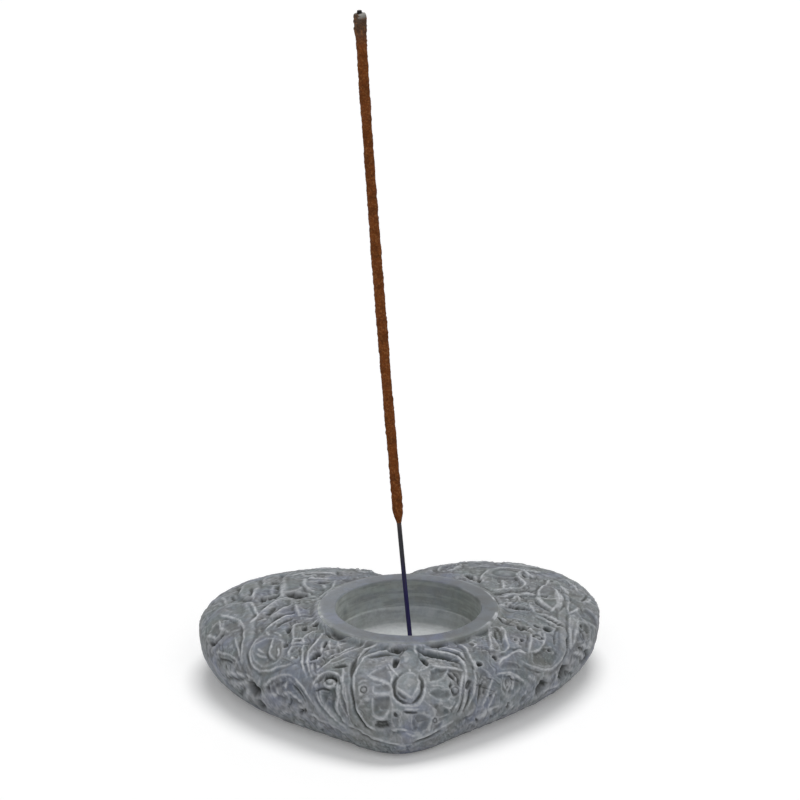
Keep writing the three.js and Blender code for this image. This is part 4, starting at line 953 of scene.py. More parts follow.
    def groove(self, half_width, depth, points):
        """A V-shaped cut that runs out at its ends, painted dark inside, partly soot and partly painted
        shade.
        """
        near, gap, fade = self.line(points, 1.5 * half_width)
        distance = gap / (half_width * (0.4 + 0.6 * fade))
        self.height[near] -= depth * np.clip(1 - distance, 0, 1) ** 0.8 * fade
        dark = min(1.0, depth) * (1 - smooth(0.3, 1.25, distance)) * fade
        self.darken(dark, near)
        self.pale[near] *= 1 - dark

    def hollow(self, depth, paleness, points):
        """A scoop inside a drawn outline, with a smooth floor, a soft wall and a pale edge; its wall and
        floor are painted dark, partly soot and partly painted shade.
        """
        outline = [*points, points[0]]
        near, gap, _ = self.line(outline, 1.5)
        x, y = self.x[near][:, None], self.y[near][:, None]
        curve = smooth_line(outline)
        (ax, ay), (bx, by) = curve[:-1].T, curve[1:].T
        meets = ax + (y - ay) * (bx - ax) / np.where(by == ay, 1, by - ay)
        inside = (((ay > y) != (by > y)) & (x < meets)).sum(1) % 2 == 1
        inward = np.where(inside, gap, -gap)
        self.height[near] -= depth * smooth(-0.2, 1.3, inward)
        shade = 0.2 * bell((inward - 0.4) / 0.35) + 0.36 * smooth(0, 0.9, inward)
        self.pale[near] *= 1 - smooth(0, 0.4, inward)
        self.darken(min(1.0, 1.4 * depth) * shade, near)
        edge = bell((inward + 0.1) / 0.25) * self.wear[near] * paleness
        self.height[near] += 0.15 * edge
        self.lighten(edge, near)

    def pocket(self, x, y, length, width, turn, depth):
        """A deep pit with a ragged edge, painted dark inside, partly soot and partly painted shade."""
        distance = self.oval(x, y, length, width, turn)
        ragged = distance + 0.18 * grain(self.x, self.y, 0.9, 5)
        inside = 1 - smooth(0.5, 1.12, ragged)
        self.height -= depth * inside
        self.darken(min(1.0, 0.75 * depth) * smooth(0, 0.7, inside))
        self.pale *= 1 - inside

    def crumble(self, x, y, length, width, turn, roughness):
        """A broken place of small chips and pits, with dust on it."""
        share = 1 - smooth(0.4, 1.1, self.oval(x, y, length, width, turn))
        chips = grain(self.x, self.y, 0.95, 11) + 0.6 * grain(self.x, self.y, 1.9, 12)
        self.height += share * roughness * (np.sign(chips) * np.abs(chips) ** 1.3 - 0.25)
        self.darken(share * roughness * 1.3 * smooth(0.1, 0.9, -chips))
        self.lighten(share * roughness * 1.3 * smooth(0.35, 0.9, chips))
        self.dust = np.maximum(self.dust, share * min(1.0, 1.6 * roughness))

    def curl(self, x, y, radius):
        """A small ring cut round a point, the ring painted dark, partly soot and partly painted shade."""
        distance = np.hypot(self.x - x, self.y - y) / radius
        ring = hump((distance - 0.8) / 0.35)
        self.height -= 0.3 * ring
        self.darken(0.4 * ring)
        self.pale = np.maximum(self.pale * (1 - ring), 0.5 * hump((distance - 1.25) / 0.35) * self.wear)

    def facets(self, scale, seed, tilt):
        """Flat chisel marks: each place takes the slope and tone of the nearest point of a shaken grid."""
        column, row = np.floor(self.x / scale), np.floor(self.y / scale)
        nearest, slope, tone = (np.full(self.x.shape, start) for start in (1e9, 0.0, 0.5))
        for shift in range(9):
            across, down = column + shift // 3 - 1, row + shift % 3 - 1
            lot = [scatter(across, down, seed + i) for i in range(5)]
            dx, dy = self.x / scale - across - lot[0], self.y / scale - down - lot[1]
            away = np.hypot(dx, dy)
            closer = away < nearest
            nearest = np.where(closer, away, nearest)
            slope = np.where(closer, dx * (lot[2] - 0.5) + dy * (lot[3] - 0.5), slope)
            tone = np.where(closer, lot[4], tone)
        self.height += 2 * tilt * slope
        self.darken(0.34 * smooth(0.5, 1.0, tone))
        self.lighten(0.13 * smooth(0.5, 1.0, 1 - tone))

    def tone(self, x, y, length, width, turn, strength):
        """A place made lighter, or darker where the strength is below nought, with a ragged edge."""
        ragged = self.oval(x, y, length, width, turn) + 0.25 * grain(self.x, self.y, 1.7, 45)
        share = 1 - smooth(0.75, 1.15, ragged)
        if strength > 0:
            self.lighten(strength * share * (1 - self.dark))
        else:
            self.darken(-strength * share * (1 - self.pale))
            self.dust = np.maximum(self.dust, -0.8 * strength * share)

    def chase(self, scale, seed, strength):
        """Fine wandering cuts with a pale lip, along the lines where a smooth noise passes through nought;
        the cuts are painted dark, partly soot and partly painted shade.
        """
        noise = grain(self.x, self.y, scale, seed)
        busy = smooth(-0.25, 0.45, grain(self.x, self.y, 7.0, seed + 1)) * strength * (1 - self.calm)
        cut = bell(noise / 0.11) * busy * (1 - self.pale)
        lip = bell((noise - 0.26) / 0.1) * busy * self.wear
        self.height += 0.12 * lip - 0.28 * cut
        self.darken(0.65 * cut)
        self.lighten(0.3 * lip * (1 - self.dark))

    def dot(self, x, y, radius, height):
        """A small raised bead, pale on top."""
        share = hump(np.hypot(self.x - x, self.y - y) / radius)
        self.height += height * share
        self.lighten(0.6 * share * height)

    def leaf(self, x, y, length, width, turn):
        """A pointed, scooped leaf with a raised margin, a mid-vein and slanted side veins; the veins and the
        ground round the margin are painted dark, partly soot and partly painted shade.
        """
        along, across = self.turned(x, y, length, width, turn)
        taper = np.clip(1 - along**2, 1e-3, 1) ** 0.6
        outward = np.where(np.abs(along) < 1, np.abs(across) / taper, 9)
        inside = 1 - smooth(0.85, 1.15, outward)
        self.height += (-0.25 - self.height) * inside
        hollow = np.clip(1 - (outward / 0.9) ** 2, 0, 1)
        self.height -= 0.65 * hollow * (1 + 0.3 * np.clip(across, -1, 1))
        self.height += 0.3 * hump(across / 0.16) * (np.abs(along) < 0.8)
        veins = smooth(0.3, 1.0, np.sin(9.0 * (along + 0.6 * np.abs(across))))
        self.height -= 0.14 * veins * inside
        self.dark = np.maximum(self.dark * (1 - inside), 0.35 * veins * hollow)
        self.darken(0.5 * hump((outward - 1.3) / 0.25))
        edge = bell((outward - 0.98) * width / 2 / 0.45) * self.wear
        self.pale = np.maximum(self.pale * (1 - inside), 0.7 * edge)


def heart_radius(size, bearings):
    """Distance from the cup's axis to the widest line at each bearing.

    Six cubic curves run from the notch over each lobe and its widest point to the tip. Their points give
    radius against bearing. Near the tip the radius is a weighted mean over neighbouring bearings.
    """
    cup = size.cup_x / MM
    tip = np.array([size.tip_x, -size.tip_reach]) / MM
    notch = np.array([size.notch_x, size.mouth_radius + size.rim_width + size.notch_land]) / MM
    right_back = (size.depth - size.tip_reach) / MM
    left_back = right_back - size.lobe_stagger / MM
    half = size.width / MM / 2
    t = np.linspace(0, 1, 201)[:, None]
    pieces = []
    for side, back_y, widest_back, shoulder, handle in (
        (-1, left_back, size.left_widest_back, size.left_shoulder, LEFT_SIDE_HANDLE),
        (1, right_back, size.right_widest_back, size.right_shoulder, RIGHT_SIDE_HANDLE),
    ):
        widest = np.array([side * half, back_y - widest_back / MM])
        back = np.array([widest[0] - side * shoulder / MM, back_y])
        out = np.array([math.sin(size.notch_flare) * side, math.cos(size.notch_flare)])
        into = np.array([math.sin(size.tip_flare) * side, math.cos(size.tip_flare)])
        across, ahead = np.array([1.0, 0.0]), np.array([0.0, 1.0])
        sides, rise, fall = widest[0] - back[0], back[1] - widest[1], widest[1] - tip[1]
        leave_notch = notch + out * NOTCH_HANDLE * np.hypot(*(back - notch))
        reach_back = back - across * LOBE_HANDLE * (back[0] - notch[0])
        leave_back = back + across * ROUND_HANDLE * sides
        reach_widest = widest + ahead * ROUND_HANDLE * rise
        leave_widest = widest - ahead * handle * fall
        reach_tip = tip + into * TIP_HANDLE * np.hypot(*(widest - tip))
        for a, b, c, d in (
            (notch, leave_notch, reach_back, back),
            (back, leave_back, reach_widest, widest),
            (widest, leave_widest, reach_tip, tip),
        ):
            pieces.append((1 - t) ** 3 * a + 3 * (1 - t) ** 2 * t * b + 3 * (1 - t) * t**2 * c + t**3 * d)
    outline = np.vstack(pieces) - [cup, 0]
    at = np.mod(np.arctan2(outline[:, 1], outline[:, 0]), TURN)
    order = np.argsort(at)
    radius = np.hypot(*outline.T)[order]

    def sharp(b):
        return np.interp(np.mod(b, TURN), at[order], radius, period=TURN)

    offsets = np.linspace(-1, 1, 21)
    weights = np.cos(offsets * math.pi / 2) ** 2
    mean = sum(w * sharp(bearings + o * size.tip_rounding) for w, o in zip(weights, offsets)) / weights.sum()
    share = bell(from_tip(bearings) / (2 * size.tip_rounding))
    return sharp(bearings) + (mean - sharp(bearings)) * share


def down_columns(table, position):
    """Reads a table at fractional row numbers, blending between the rows, column by column."""
    low = np.clip(position.astype(int), 0, len(table) - 2)
    share = position - low
    return np.take_along_axis(table, low, 0) * (1 - share) + np.take_along_axis(table, low + 1, 0) * share


def equal_rows(radius, height, rows):
    """Rows of equal length down each column of a finely sampled section, and how far along each lies."""
    steps = np.hypot(np.diff(radius, axis=0), np.diff(height, axis=0))
    run = np.vstack([np.zeros(radius.shape[1]), np.cumsum(steps, 0)])
    fine = len(radius) - 1
    wanted = np.linspace(0, 1, rows + 1)[:, None] * np.ones(radius.shape[1])
    at = wanted.copy()
    for _ in range(16):
        at = np.clip(at + wanted - down_columns(run / run[-1], at * fine), 0, 1)
    return down_columns(radius, at * fine), down_columns(height, at * fine), wanted * run[-1]


def dressed_surface(size, bearings):
    """The stone from the foot of the rim to its base edge, before it is carved.

    The top runs level from the rim and rounds over to the widest line: height falls with the square root of
    one minus a power of the share of the way out. Below it a quarter oval draws in to the base. The widest
    line sinks towards the tip. Returns the radius, the height, the distance over the surface from the axis,
    and the distance that is left to the base edge.
    """
    rim = (size.mouth_radius + size.rim_width) / MM
    shoulder = (size.height - size.rim_step) / MM
    reach = heart_radius(size, bearings)
    near_tip = bell(from_tip(bearings) / size.tip_spread)
    edge = (size.side_edge + (size.tip_edge - size.side_edge) * near_tip) / MM
    undercut = (size.side_undercut + (size.tip_undercut - size.side_undercut) * near_tip) / MM
    turn = np.linspace(0, math.pi / 2, 241)[:, None]
    out = np.sin(turn)
    rounding = np.sqrt(1 - out**SHOULDER_POWER)
    top = equal_rows(rim + (reach - rim) * out, edge + (shoulder - edge) * rounding, TOP_ROWS)
    under = equal_rows(reach - undercut * (1 - np.cos(turn)), edge * (1 - np.sin(turn)), UNDER_ROWS)
    radius = np.vstack([top[0], under[0][1:]])
    height = np.vstack([top[1], under[1][1:]])
    run = np.vstack([top[2], under[2][1:] + top[2][-1]]) + rim
    return radius, height, run, run[-1] - run


def grid_normals(points):
    """Outward unit normals of a grid that closes on itself sideways."""
    across = np.roll(points, -1, 1) - np.roll(points, 1, 1)
    down = np.gradient(points, axis=0)
    normal = np.cross(down, across)
    return normal / np.linalg.norm(normal, axis=2, keepdims=True)


def soften(points, times):
    """Each point moves halfway to the middle of its neighbours, first sideways and then down the rows."""
    for _ in range(times):
        points = 0.5 * points + 0.25 * (np.roll(points, 1, 1) + np.roll(points, -1, 1))
        padded = np.concatenate([points[:1], points, points[-1:]])
        points = 0.5 * points + 0.25 * (padded[:-2] + padded[2:])
    return points


def carve(size, bearings, run, to_edge, to_base):
    """Carved height and the shares of pale, dark and dust, from the lists of motifs.

    The ground is cut first, then the broad motifs, then the lines, and the fine marks last. The carving
    rises a little to meet the rim, except at the gaps, and fades out above the base edge.
    """
    x, y = run * np.cos(bearings), run * np.sin(bearings)
    full = BORDER_DEPTH_SHARE + (1 - BORDER_DEPTH_SHARE) * smooth(THINNING_START, THINNING_END, to_edge)
    relief = Relief(x, y, size.carving_depth / MM * full)

    def cut_all(cut, motifs):
        for motif in motifs:
            cut(*motif)

    relief.height += 0.12 * grain(x, y, size=6.0, seed=1) + 0.08 * grain(x, y, size=2.6, seed=2)
    relief.facets(scale=4.2, seed=61, tilt=0.3)
    relief.facets(scale=2.3, seed=71, tilt=0.12)
    cut_all(relief.leaf, BACK_LEAVES)
    cut_all(relief.plate, PLATES)
    cut_all(relief.band, BANDS)
    cut_all(relief.dome, DOMES)
    cut_all(relief.hollow, HOLLOWS)
    cut_all(relief.groove, GROOVES)
    cut_all(relief.ridge, RIDGES)
    cut_all(relief.pocket, POCKETS)
    cut_all(relief.tone, TONES)
    relief.chase(scale=2.4, seed=51, strength=0.8)
    relief.chase(scale=1.5, seed=54, strength=0.6)
    cut_all(relief.crumble, CRUMBLES)
    cut_all(relief.curl, CURLS)
    cut_all(relief.dot, DOTS)
    from_rim = run - (size.mouth_radius + size.rim_width) / MM
    degrees = np.degrees(bearings)
    gap = sum(deep * bell(((degrees - at + 180) % 360 - 180) / wide) for at, wide, deep in RIM_GAPS)
    closed = np.exp(-2 * gap)
    relief.height += hump(from_rim / 2.2) * np.clip(-relief.height, 0, None) * 0.85 * closed
    # Painted shadow: the gaps beside the rim are painted dark.
    relief.darken(np.clip(gap, 0, 1) * hump((from_rim - 0.3) / 1.3))
    relief.height -= gap * hump((from_rim - 0.5) / 1.3)
    border = smooth(PLAIN_BORDER, FULL_CARVING, to_base)
    height = relief.height * border - 0.1 * (1 - border)
    height += 0.03 * grain(x, y, size=0.9, seed=3)
    below = CREST_LIMIT - np.minimum(height, CREST_LIMIT)
    height = CREST_LIMIT - np.sqrt(below**2 + CREST_SOFTNESS)
    height = np.minimum(height, 0) + RIM_FILLET * bell(from_rim / RIM_FILLET_WIDTH) * closed
    return height, relief.pale * border, relief.dark * border, relief.dust * border


def cup_rows(size, bearings):
    """The turned cup and rim as rows of points, from the bottom of the stick hole outwards.

    A row has a radius, a height and a share from 0 to 1 of how far it is centred on the hole, not the cup.
    The small lengths in it round the edges off. The turning is a little out of round, and the top of the
    rim a little uneven.
    """
    top = size.height / MM
    floor = top - size.cup_depth / MM
    ledge = top - size.ledge_depth / MM
    mouth = size.mouth_radius / MM
    draft = size.wall_draft / MM
    step = size.ledge_width / MM
    rim = mouth + size.rim_width / MM
    hole = hole_radius()
    wall = mouth - draft
    low = wall - step
    rows = [
        (hole, floor - size.hole_depth / MM + 0.05, 1),
        (hole, floor - 0.9, 1),
        (hole, floor - 0.25, 1),
        (hole + 0.2, floor, 1),
        (3.2, floor, 0.7),
        (6.0, floor, 0.4),
        (9.5, floor + 0.02, 0.15),
        (13.0, floor + 0.04, 0),
        (16.0, floor + 0.06, 0),
        (low - draft - 0.7, floor + 0.1, 0),
        (low - draft - 0.25, floor + 0.2, 0),
        (low - draft, floor + 0.6, 0),
        (low - 0.3 * draft, ledge - 1.6, 0),
        (low - 0.05, ledge - 0.4, 0),
        (low + 0.06, ledge - 0.08, 0),
        (low + 0.25, ledge, 0),
        (wall - 0.12, ledge + 0.04, 0),
        (wall, ledge + 0.3, 0),
        (wall + 0.3 * draft, ledge + 2.5, 0),
        (wall + 0.6 * draft, top - 3.0, 0),
        (mouth - 0.02, top - 1.0, 0),
        (mouth + 0.03, top - 0.45, 0),
        (mouth + 0.16, top - 0.14, 0),
        (mouth + 0.45, top - 0.02, 0),
        (mouth + 2.2, top - 0.04, 0),
        (rim - 1.7, top - 0.12, 0),
        (rim - 1.1, top - 0.2, 0),
        (rim - 0.75, top - 0.22, 0),
        (rim - 0.45, top - 0.3, 0),
        (rim - 0.28, top - 0.42, 0),
        (rim - 0.18, top - 0.62, 0),
    ]
    radius, height, offset = (np.array(v)[:, None] for v in zip(*rows))
    shift = offset * size.hole_offset / MM
    wobble = 0.06 * np.sin(2 * bearings + 0.7) + 0.05 * np.sin(5 * bearings)
    wobble = wobble + 0.04 * np.sin(9 * bearings + 2)
    radius = radius + wobble * smooth(2.0, 12.0, radius)
    lift = 0.05 * np.minimum(np.sin(3 * bearings + 1), 0) + 0.03 * np.minimum(np.sin(7 * bearings), 0)
    height = height + lift * smooth(top - 2, top - 0.3, height)
    x = size.cup_x / MM + shift + radius * np.cos(bearings)
    return np.stack([x, radius * np.sin(bearings), height + 0 * bearings], 2)


def hole_radius():
    """Radius of the upright stick hole that lets the leaning core stand in it with its clearance."""
    stick = bpy.context.scene.stick_sizes
    depth = bpy.context.scene.stone_sizes.hole_depth / MM
    radius = stick.core / MM / 2
    return radius / math.cos(stick.lean) + stick.clearance / MM + math.tan(stick.lean) * depth / 2


def grid_mesh(name, grid, poles=(), ring=False):
    """A closed mesh from rows of points that close sideways.

    Two poles cap it, or the last row joins the first as on a ring.
    """
    rows, columns = grid.shape[:2]
    number = np.arange(rows * columns).reshape(rows, columns)
    beside = np.roll(number, -1, 1)
    last = rows if ring else rows - 1
    lower = np.roll(number, -1, 0)[:last]
    beside_lower = np.roll(beside, -1, 0)[:last]
    quads = np.stack([number[:last], lower, beside_lower, beside[:last]], 2).reshape(-1, 4)
    points = grid.reshape(-1, 3)
    fans = np.zeros((0, 3), int)
    if len(poles):
        first, final = len(points), len(points) + 1
        points = np.vstack([points, poles])
        cap = np.full(columns, first)
        base = np.full(columns, final)
        upper = np.stack([cap, number[0], beside[0]], 1)
        fans = np.vstack([upper, np.stack([base, beside[-1], number[-1]], 1)])
    mesh = bpy.data.meshes.new(name)
    mesh.vertices.add(len(points))
    mesh.vertices.foreach_set("co", (points * MM).astype(np.float32).ravel())
    loops = np.concatenate([quads.ravel(), fans.ravel()]).astype(np.int32)
    mesh.loops.add(len(loops))
    mesh.loops.foreach_set("vertex_index", loops)
    starts = np.concatenate([np.arange(len(quads)) * 4, len(quads) * 4 + np.arange(len(fans)) * 3])
    mesh.polygons.add(len(starts))
    mesh.polygons.foreach_set("loop_start", starts.astype(np.int32))
    mesh.update(calc_edges=True)
    mesh.validate()
    mesh.polygons.foreach_set("use_smooth", np.ones(len(mesh.polygons), bool))
    return mesh


def put_values(mesh, **values):
    """Stores a number per point of the mesh under each name."""
    for name, value in values.items():
        layer = mesh.attributes.new(name, "FLOAT", "POINT")
        full = np.zeros(len(mesh.vertices), np.float32)
        full[: value.size] = value.ravel()
        layer.data.foreach_set("value", full)


def place_piece(mesh, material, body, slot, *nodes):
    """Puts a finished mesh into the scene, riding on its body in place of its plain solids."""
    mesh.materials.append(material)
    piece = bpy.data.objects.new(mesh.name, mesh)
    bpy.context.scene.collection.objects.link(piece)
    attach(piece, body)
    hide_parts(*nodes)


class Nodes:
    """Short ways to add and join shader nodes."""

    def __init__(self, tree):
        self.tree = tree

    def add(self, kind, output=0, settings=None, **inputs):
        """Adds a node. Inputs are named with _ for a space, or numbered as i0, i1; sockets are linked."""
        node = self.tree.nodes.new(kind)
        for key, value in (settings or {}).items():
            setattr(node, key, value)
        for key, value in inputs.items():
            numbered = key[0] == "i" and key[1:].isdigit()
            self.feed(node.inputs[int(key[1:]) if numbered else key.replace("_", " ")], value)
        return node if output is None else node.outputs[output]

    def feed(self, socket, value):
        """Links another node's output to an input, or sets the input to a plain value."""
        if isinstance(value, bpy.types.NodeSocket):
            self.tree.links.new(value, socket)
        else:
            socket.default_value = value

    def math(self, operation, a, b=0.0, clamp=False):
        """One sum on two numbers."""
        return self.add("ShaderNodeMath", settings={"operation": operation, "use_clamp": clamp}, i0=a, i1=b)

    def times(self, a, b, clamp=False):
        """The product of two numbers."""
        return self.math("MULTIPLY", a, b, clamp)

    def grey(self, value):
        """A colour with the same red, green and blue."""
        return self.add("ShaderNodeCombineColor", Red=value, Green=value, Blue=value)

    def spread(self, value, low, high, to_low=0.0, to_high=1.0):
        """Draws a stretch of values out smoothly to another stretch."""
        return self.add(
            "ShaderNodeMapRange",
            settings={"interpolation_type": "SMOOTHSTEP"},
            Value=value, From_Min=low, From_Max=high, To_Min=to_low, To_Max=to_high,
        )

    def mix(self, share, a, b, blend="MIX"):
        """A share of colour b over colour a."""
        node = self.tree.nodes.new("ShaderNodeMix")
        node.data_type, node.blend_type = "RGBA", blend
        for socket, value in ((node.inputs[0], share), (node.inputs[6], a), (node.inputs[7], b)):
            self.feed(socket, value)
        return node.outputs[2]

    def value(self, name):
        """The number stored under a name at each point of the mesh."""
        return self.add("ShaderNodeAttribute", output=2, settings={"attribute_name": name})

    def clouds(self, vector, scale, specks, distortion, output=0):
        """The group of clouds and specks on some coordinates. Output 0 is the clouds and 1 the specks."""
        return self.add(
            "ShaderNodeGroup",
            output=output,
            settings={"node_tree": cloud_group()},
            Vector=vector, Cloud_Scale=scale, Speck_Scale=specks, Distortion=distortion,
        )

    def set(self, shader, name, value):
        """Links an output to one of the shader's inputs."""
        self.tree.links.new(value, shader.inputs[name])


def cloud_group():
    """Soft clouds and fine specks: two noises on the piece's own coordinates, each drawn out to 0 to 1."""
    name = "Clouds and specks"
    if name in bpy.data.node_groups:
        return bpy.data.node_groups[name]
    tree = bpy.data.node_groups.new(name, "ShaderNodeTree")
    tree.interface.new_socket("Vector", in_out="INPUT", socket_type="NodeSocketVector")
    for label, default in (("Cloud Scale", 60.0), ("Speck Scale", 1500.0), ("Distortion", 0.4)):
        socket = tree.interface.new_socket(label, in_out="INPUT", socket_type="NodeSocketFloat")
        socket.default_value = default
    for label in ("Clouds", "Specks"):
        tree.interface.new_socket(label, in_out="OUTPUT", socket_type="NodeSocketFloat")
    given = tree.nodes.new("NodeGroupInput").outputs
    result = tree.nodes.new("NodeGroupOutput")
    n = Nodes(tree)
    clouds = n.add("ShaderNodeTexNoise", Vector=given["Vector"], Scale=given["Cloud Scale"], Detail=4.0,
                   Roughness=0.55, Distortion=given["Distortion"])
    specks = n.add("ShaderNodeTexNoise", Vector=given["Vector"], Scale=given["Speck Scale"], Detail=2.0,
                   Roughness=0.6)
    n.set(result, "Clouds", n.spread(clouds, 0.36, 0.64))
    n.set(result, "Specks", n.spread(specks, 0.34, 0.66))
    return tree


def new_material(name, **constants):
    """A material with one Principled shader whose plain values are set on its own sockets."""
    material = bpy.data.materials.new(name)
    material.use_nodes = True
    tree = material.node_tree
    tree.nodes.clear()
    shader = tree.nodes.new("ShaderNodeBsdfPrincipled")
    output = tree.nodes.new("ShaderNodeOutputMaterial")
    tree.links.new(shader.outputs[0], output.inputs["Surface"])
    for key, value in constants.items():
        shader.inputs[key.replace("_", " ")].default_value = value
    n = Nodes(tree)
    return material, n, shader, n.add("ShaderNodeTexCoord", output=3)


def soapstone(look):
    """Matt grey stone: clouds of blue, green and brown grey, pale rubbed crests and dark recesses of soot and
    painted shade, with painted highlights, painted light and painted shade on the cup.
    """
    material, n, shader, place = new_material("Soapstone", Specular_IOR_Level=0.35)
    large = n.clouds(place, scale=55.0, specks=900.0, distortion=0.6)
    middle = n.clouds(place, scale=190.0, specks=2200.0, distortion=0.8)
    fine = n.clouds(place, scale=190.0, specks=2200.0, distortion=0.8, output=1)
    shifted = n.add("ShaderNodeMapping", Vector=place, Location=(0.31, 0.17, 0.53))
    other = n.clouds(shifted, scale=85.0, specks=600.0, distortion=0.5)
    patches = n.clouds(shifted, scale=85.0, specks=600.0, distortion=0.5, output=1)
    body = n.mix(n.times(large, 0.9), look.stone, look.stone_blue)
    body = n.mix(n.times(other, 0.65), body, look.stone_green)
    body = n.mix(n.times(middle, 0.5), body, look.stone_warm)
    shade = n.times(n.spread(fine, 0.0, 1.0, 0.95, 1.05), n.spread(patches, 0.0, 1.0, 0.93, 1.07))
    body = n.mix(1.0, body, n.grey(shade), "MULTIPLY")
    dust = n.times(n.value("dust"), n.spread(fine, 0.1, 0.9, 0.15, 0.75))
    body = n.mix(dust, body, look.stone_dust)
    # Chalky paleness of the cup, with painted light on the left of the rim and on the upper walls.
    chalk = n.times(n.value("chalk"), n.spread(patches, 0.0, 1.0, 0.85, 1.0))
    body = n.mix(chalk, body, look.stone_chalk_and_light)
    turned = n.add("ShaderNodeMapping", Vector=place, Scale=(0.1, 0.1, 1.0))
    lines = n.spread(n.clouds(turned, scale=900.0, specks=3000.0, distortion=0.3), 0.0, 1.0, 0.86, 1.12)
    more_green, less_blue = n.times(lines, 1.02), n.times(lines, 0.97)
    tint = n.add("ShaderNodeCombineColor", Red=lines, Green=more_green, Blue=less_blue)
    body = n.mix(n.value("wall"), body, n.mix(1.0, body, tint, "MULTIPLY"))
    rubbed = n.times(n.value("rim"), n.spread(other, 0.0, 1.0, 0.1, 0.6))
    body = n.mix(rubbed, body, look.stone_rim)
    # Dark of the recesses, partly soot and partly painted shade, with the painted shade of the cup and of the
    # lobes at the back.
    soot_and_shade = n.times(n.value("cavity"), n.spread(patches, 0.0, 1.0, 0.75, 1.0), clamp=True)
    body = n.mix(soot_and_shade, body, look.stone_soot_and_shade)
    # Pale worn crests, with painted highlights on the edges of the cup's rim and mouth.
    worn = n.times(n.value("crest"), n.spread(patches, 0.0, 1.0, 0.6, 1.0), clamp=True)
    body = n.mix(worn, body, look.stone_worn_and_highlight)
    n.set(shader, "Base Color", body)
    rough = n.spread(middle, 0.0, 1.0, 0.66, 0.82)
    n.set(shader, "Roughness", n.math("SUBTRACT", rough, n.times(worn, 0.12)))
    pits = n.add("ShaderNodeTexVoronoi", Vector=place, Scale=1300.0, Randomness=1.0)
    surface = n.math("ADD", n.times(fine, 0.5), n.spread(pits, 0.05, 0.4, 0.0, 0.5))
    n.set(shader, "Normal", n.add("ShaderNodeBump", Height=surface, Strength=0.25, Distance=0.0001))
    return material


def stick_line(size, stone, along):
    """Centre and sideways direction of the stick at lengths from its foot: a slight arc that leans left."""
    first_lean = size.lean
    curvature = size.bend / (size.length / MM)
    lean = first_lean - curvature * along
    depth = stone.hole_depth / MM
    hole_floor = (stone.height - stone.cup_depth - stone.hole_depth + size.clearance) / MM
    foot_x = (stone.cup_x + stone.hole_offset) / MM + math.tan(first_lean) * depth / 2
    foot_z = hole_floor + size.core / MM / 2 * math.sin(first_lean)
    x = foot_x - (np.cos(lean) - math.cos(first_lean)) / curvature
    z = foot_z + (math.sin(first_lean) - np.sin(lean)) / curvature
    return np.stack([x, 0 * x, z], -1), np.stack([np.cos(lean), 0 * x, np.sin(lean)], -1)


def round_rows(size, stone, along, radius):
    """Rings about the stick's line: radius may change round each ring."""
    centre, side = stick_line(size, stone, along)
    turn = np.linspace(0, TURN, radius.shape[1], endpoint=False)
    forward = np.array([0.0, 1.0, 0.0])
    ring = side[:, None, :] * np.cos(turn)[None, :, None] + forward * np.sin(turn)[None, :, None]
    return centre[:, None, :] + ring * radius[..., None]


def crowded_bearings():
    """Bearings of the mesh's columns, closer together over the front and at the notch."""
    fine = np.linspace(-math.pi, math.pi, 2001)
    front = FRONT_CROWDING * bell(from_tip(fine) / FRONT_SPREAD)
    crowd = 1 + front + NOTCH_CROWDING * bell((fine - NOTCH_BEARING) / NOTCH_SPREAD)
    run = np.concatenate([[0], np.cumsum((crowd[1:] + crowd[:-1]) / 2)])
    return np.interp(np.linspace(0, run[-1], COLUMNS, endpoint=False), run, fine)


def wear_soot_and_shade(shell, pale, dark):
    """Shares of worn crest and dark recess on the carved stone, from its own shape and from the motifs; the
    dark of a recess is partly soot and partly painted shade.

    A point that stands out of the softened surface is a crest, and one that lies below it is a recess.
    """
    normal = grid_normals(shell)
    thin = ((shell - soften(shell, THIN_SOFTENINGS)) * normal).sum(2)
    wide = ((shell - soften(shell, WIDE_SOFTENINGS)) * normal).sum(2)
    crest = np.clip(thin / 0.06 - 0.1, 0, 1) * 0.27 + np.clip(wide / 0.6, 0, 1) * 0.15
    cavity = np.clip(-thin / 0.12, 0, 1) * 0.4 + np.clip(-wide / 0.8, 0, 1) * 0.6
    return crest + MOTIF_SHARE * pale, cavity + MOTIF_SHARE * dark


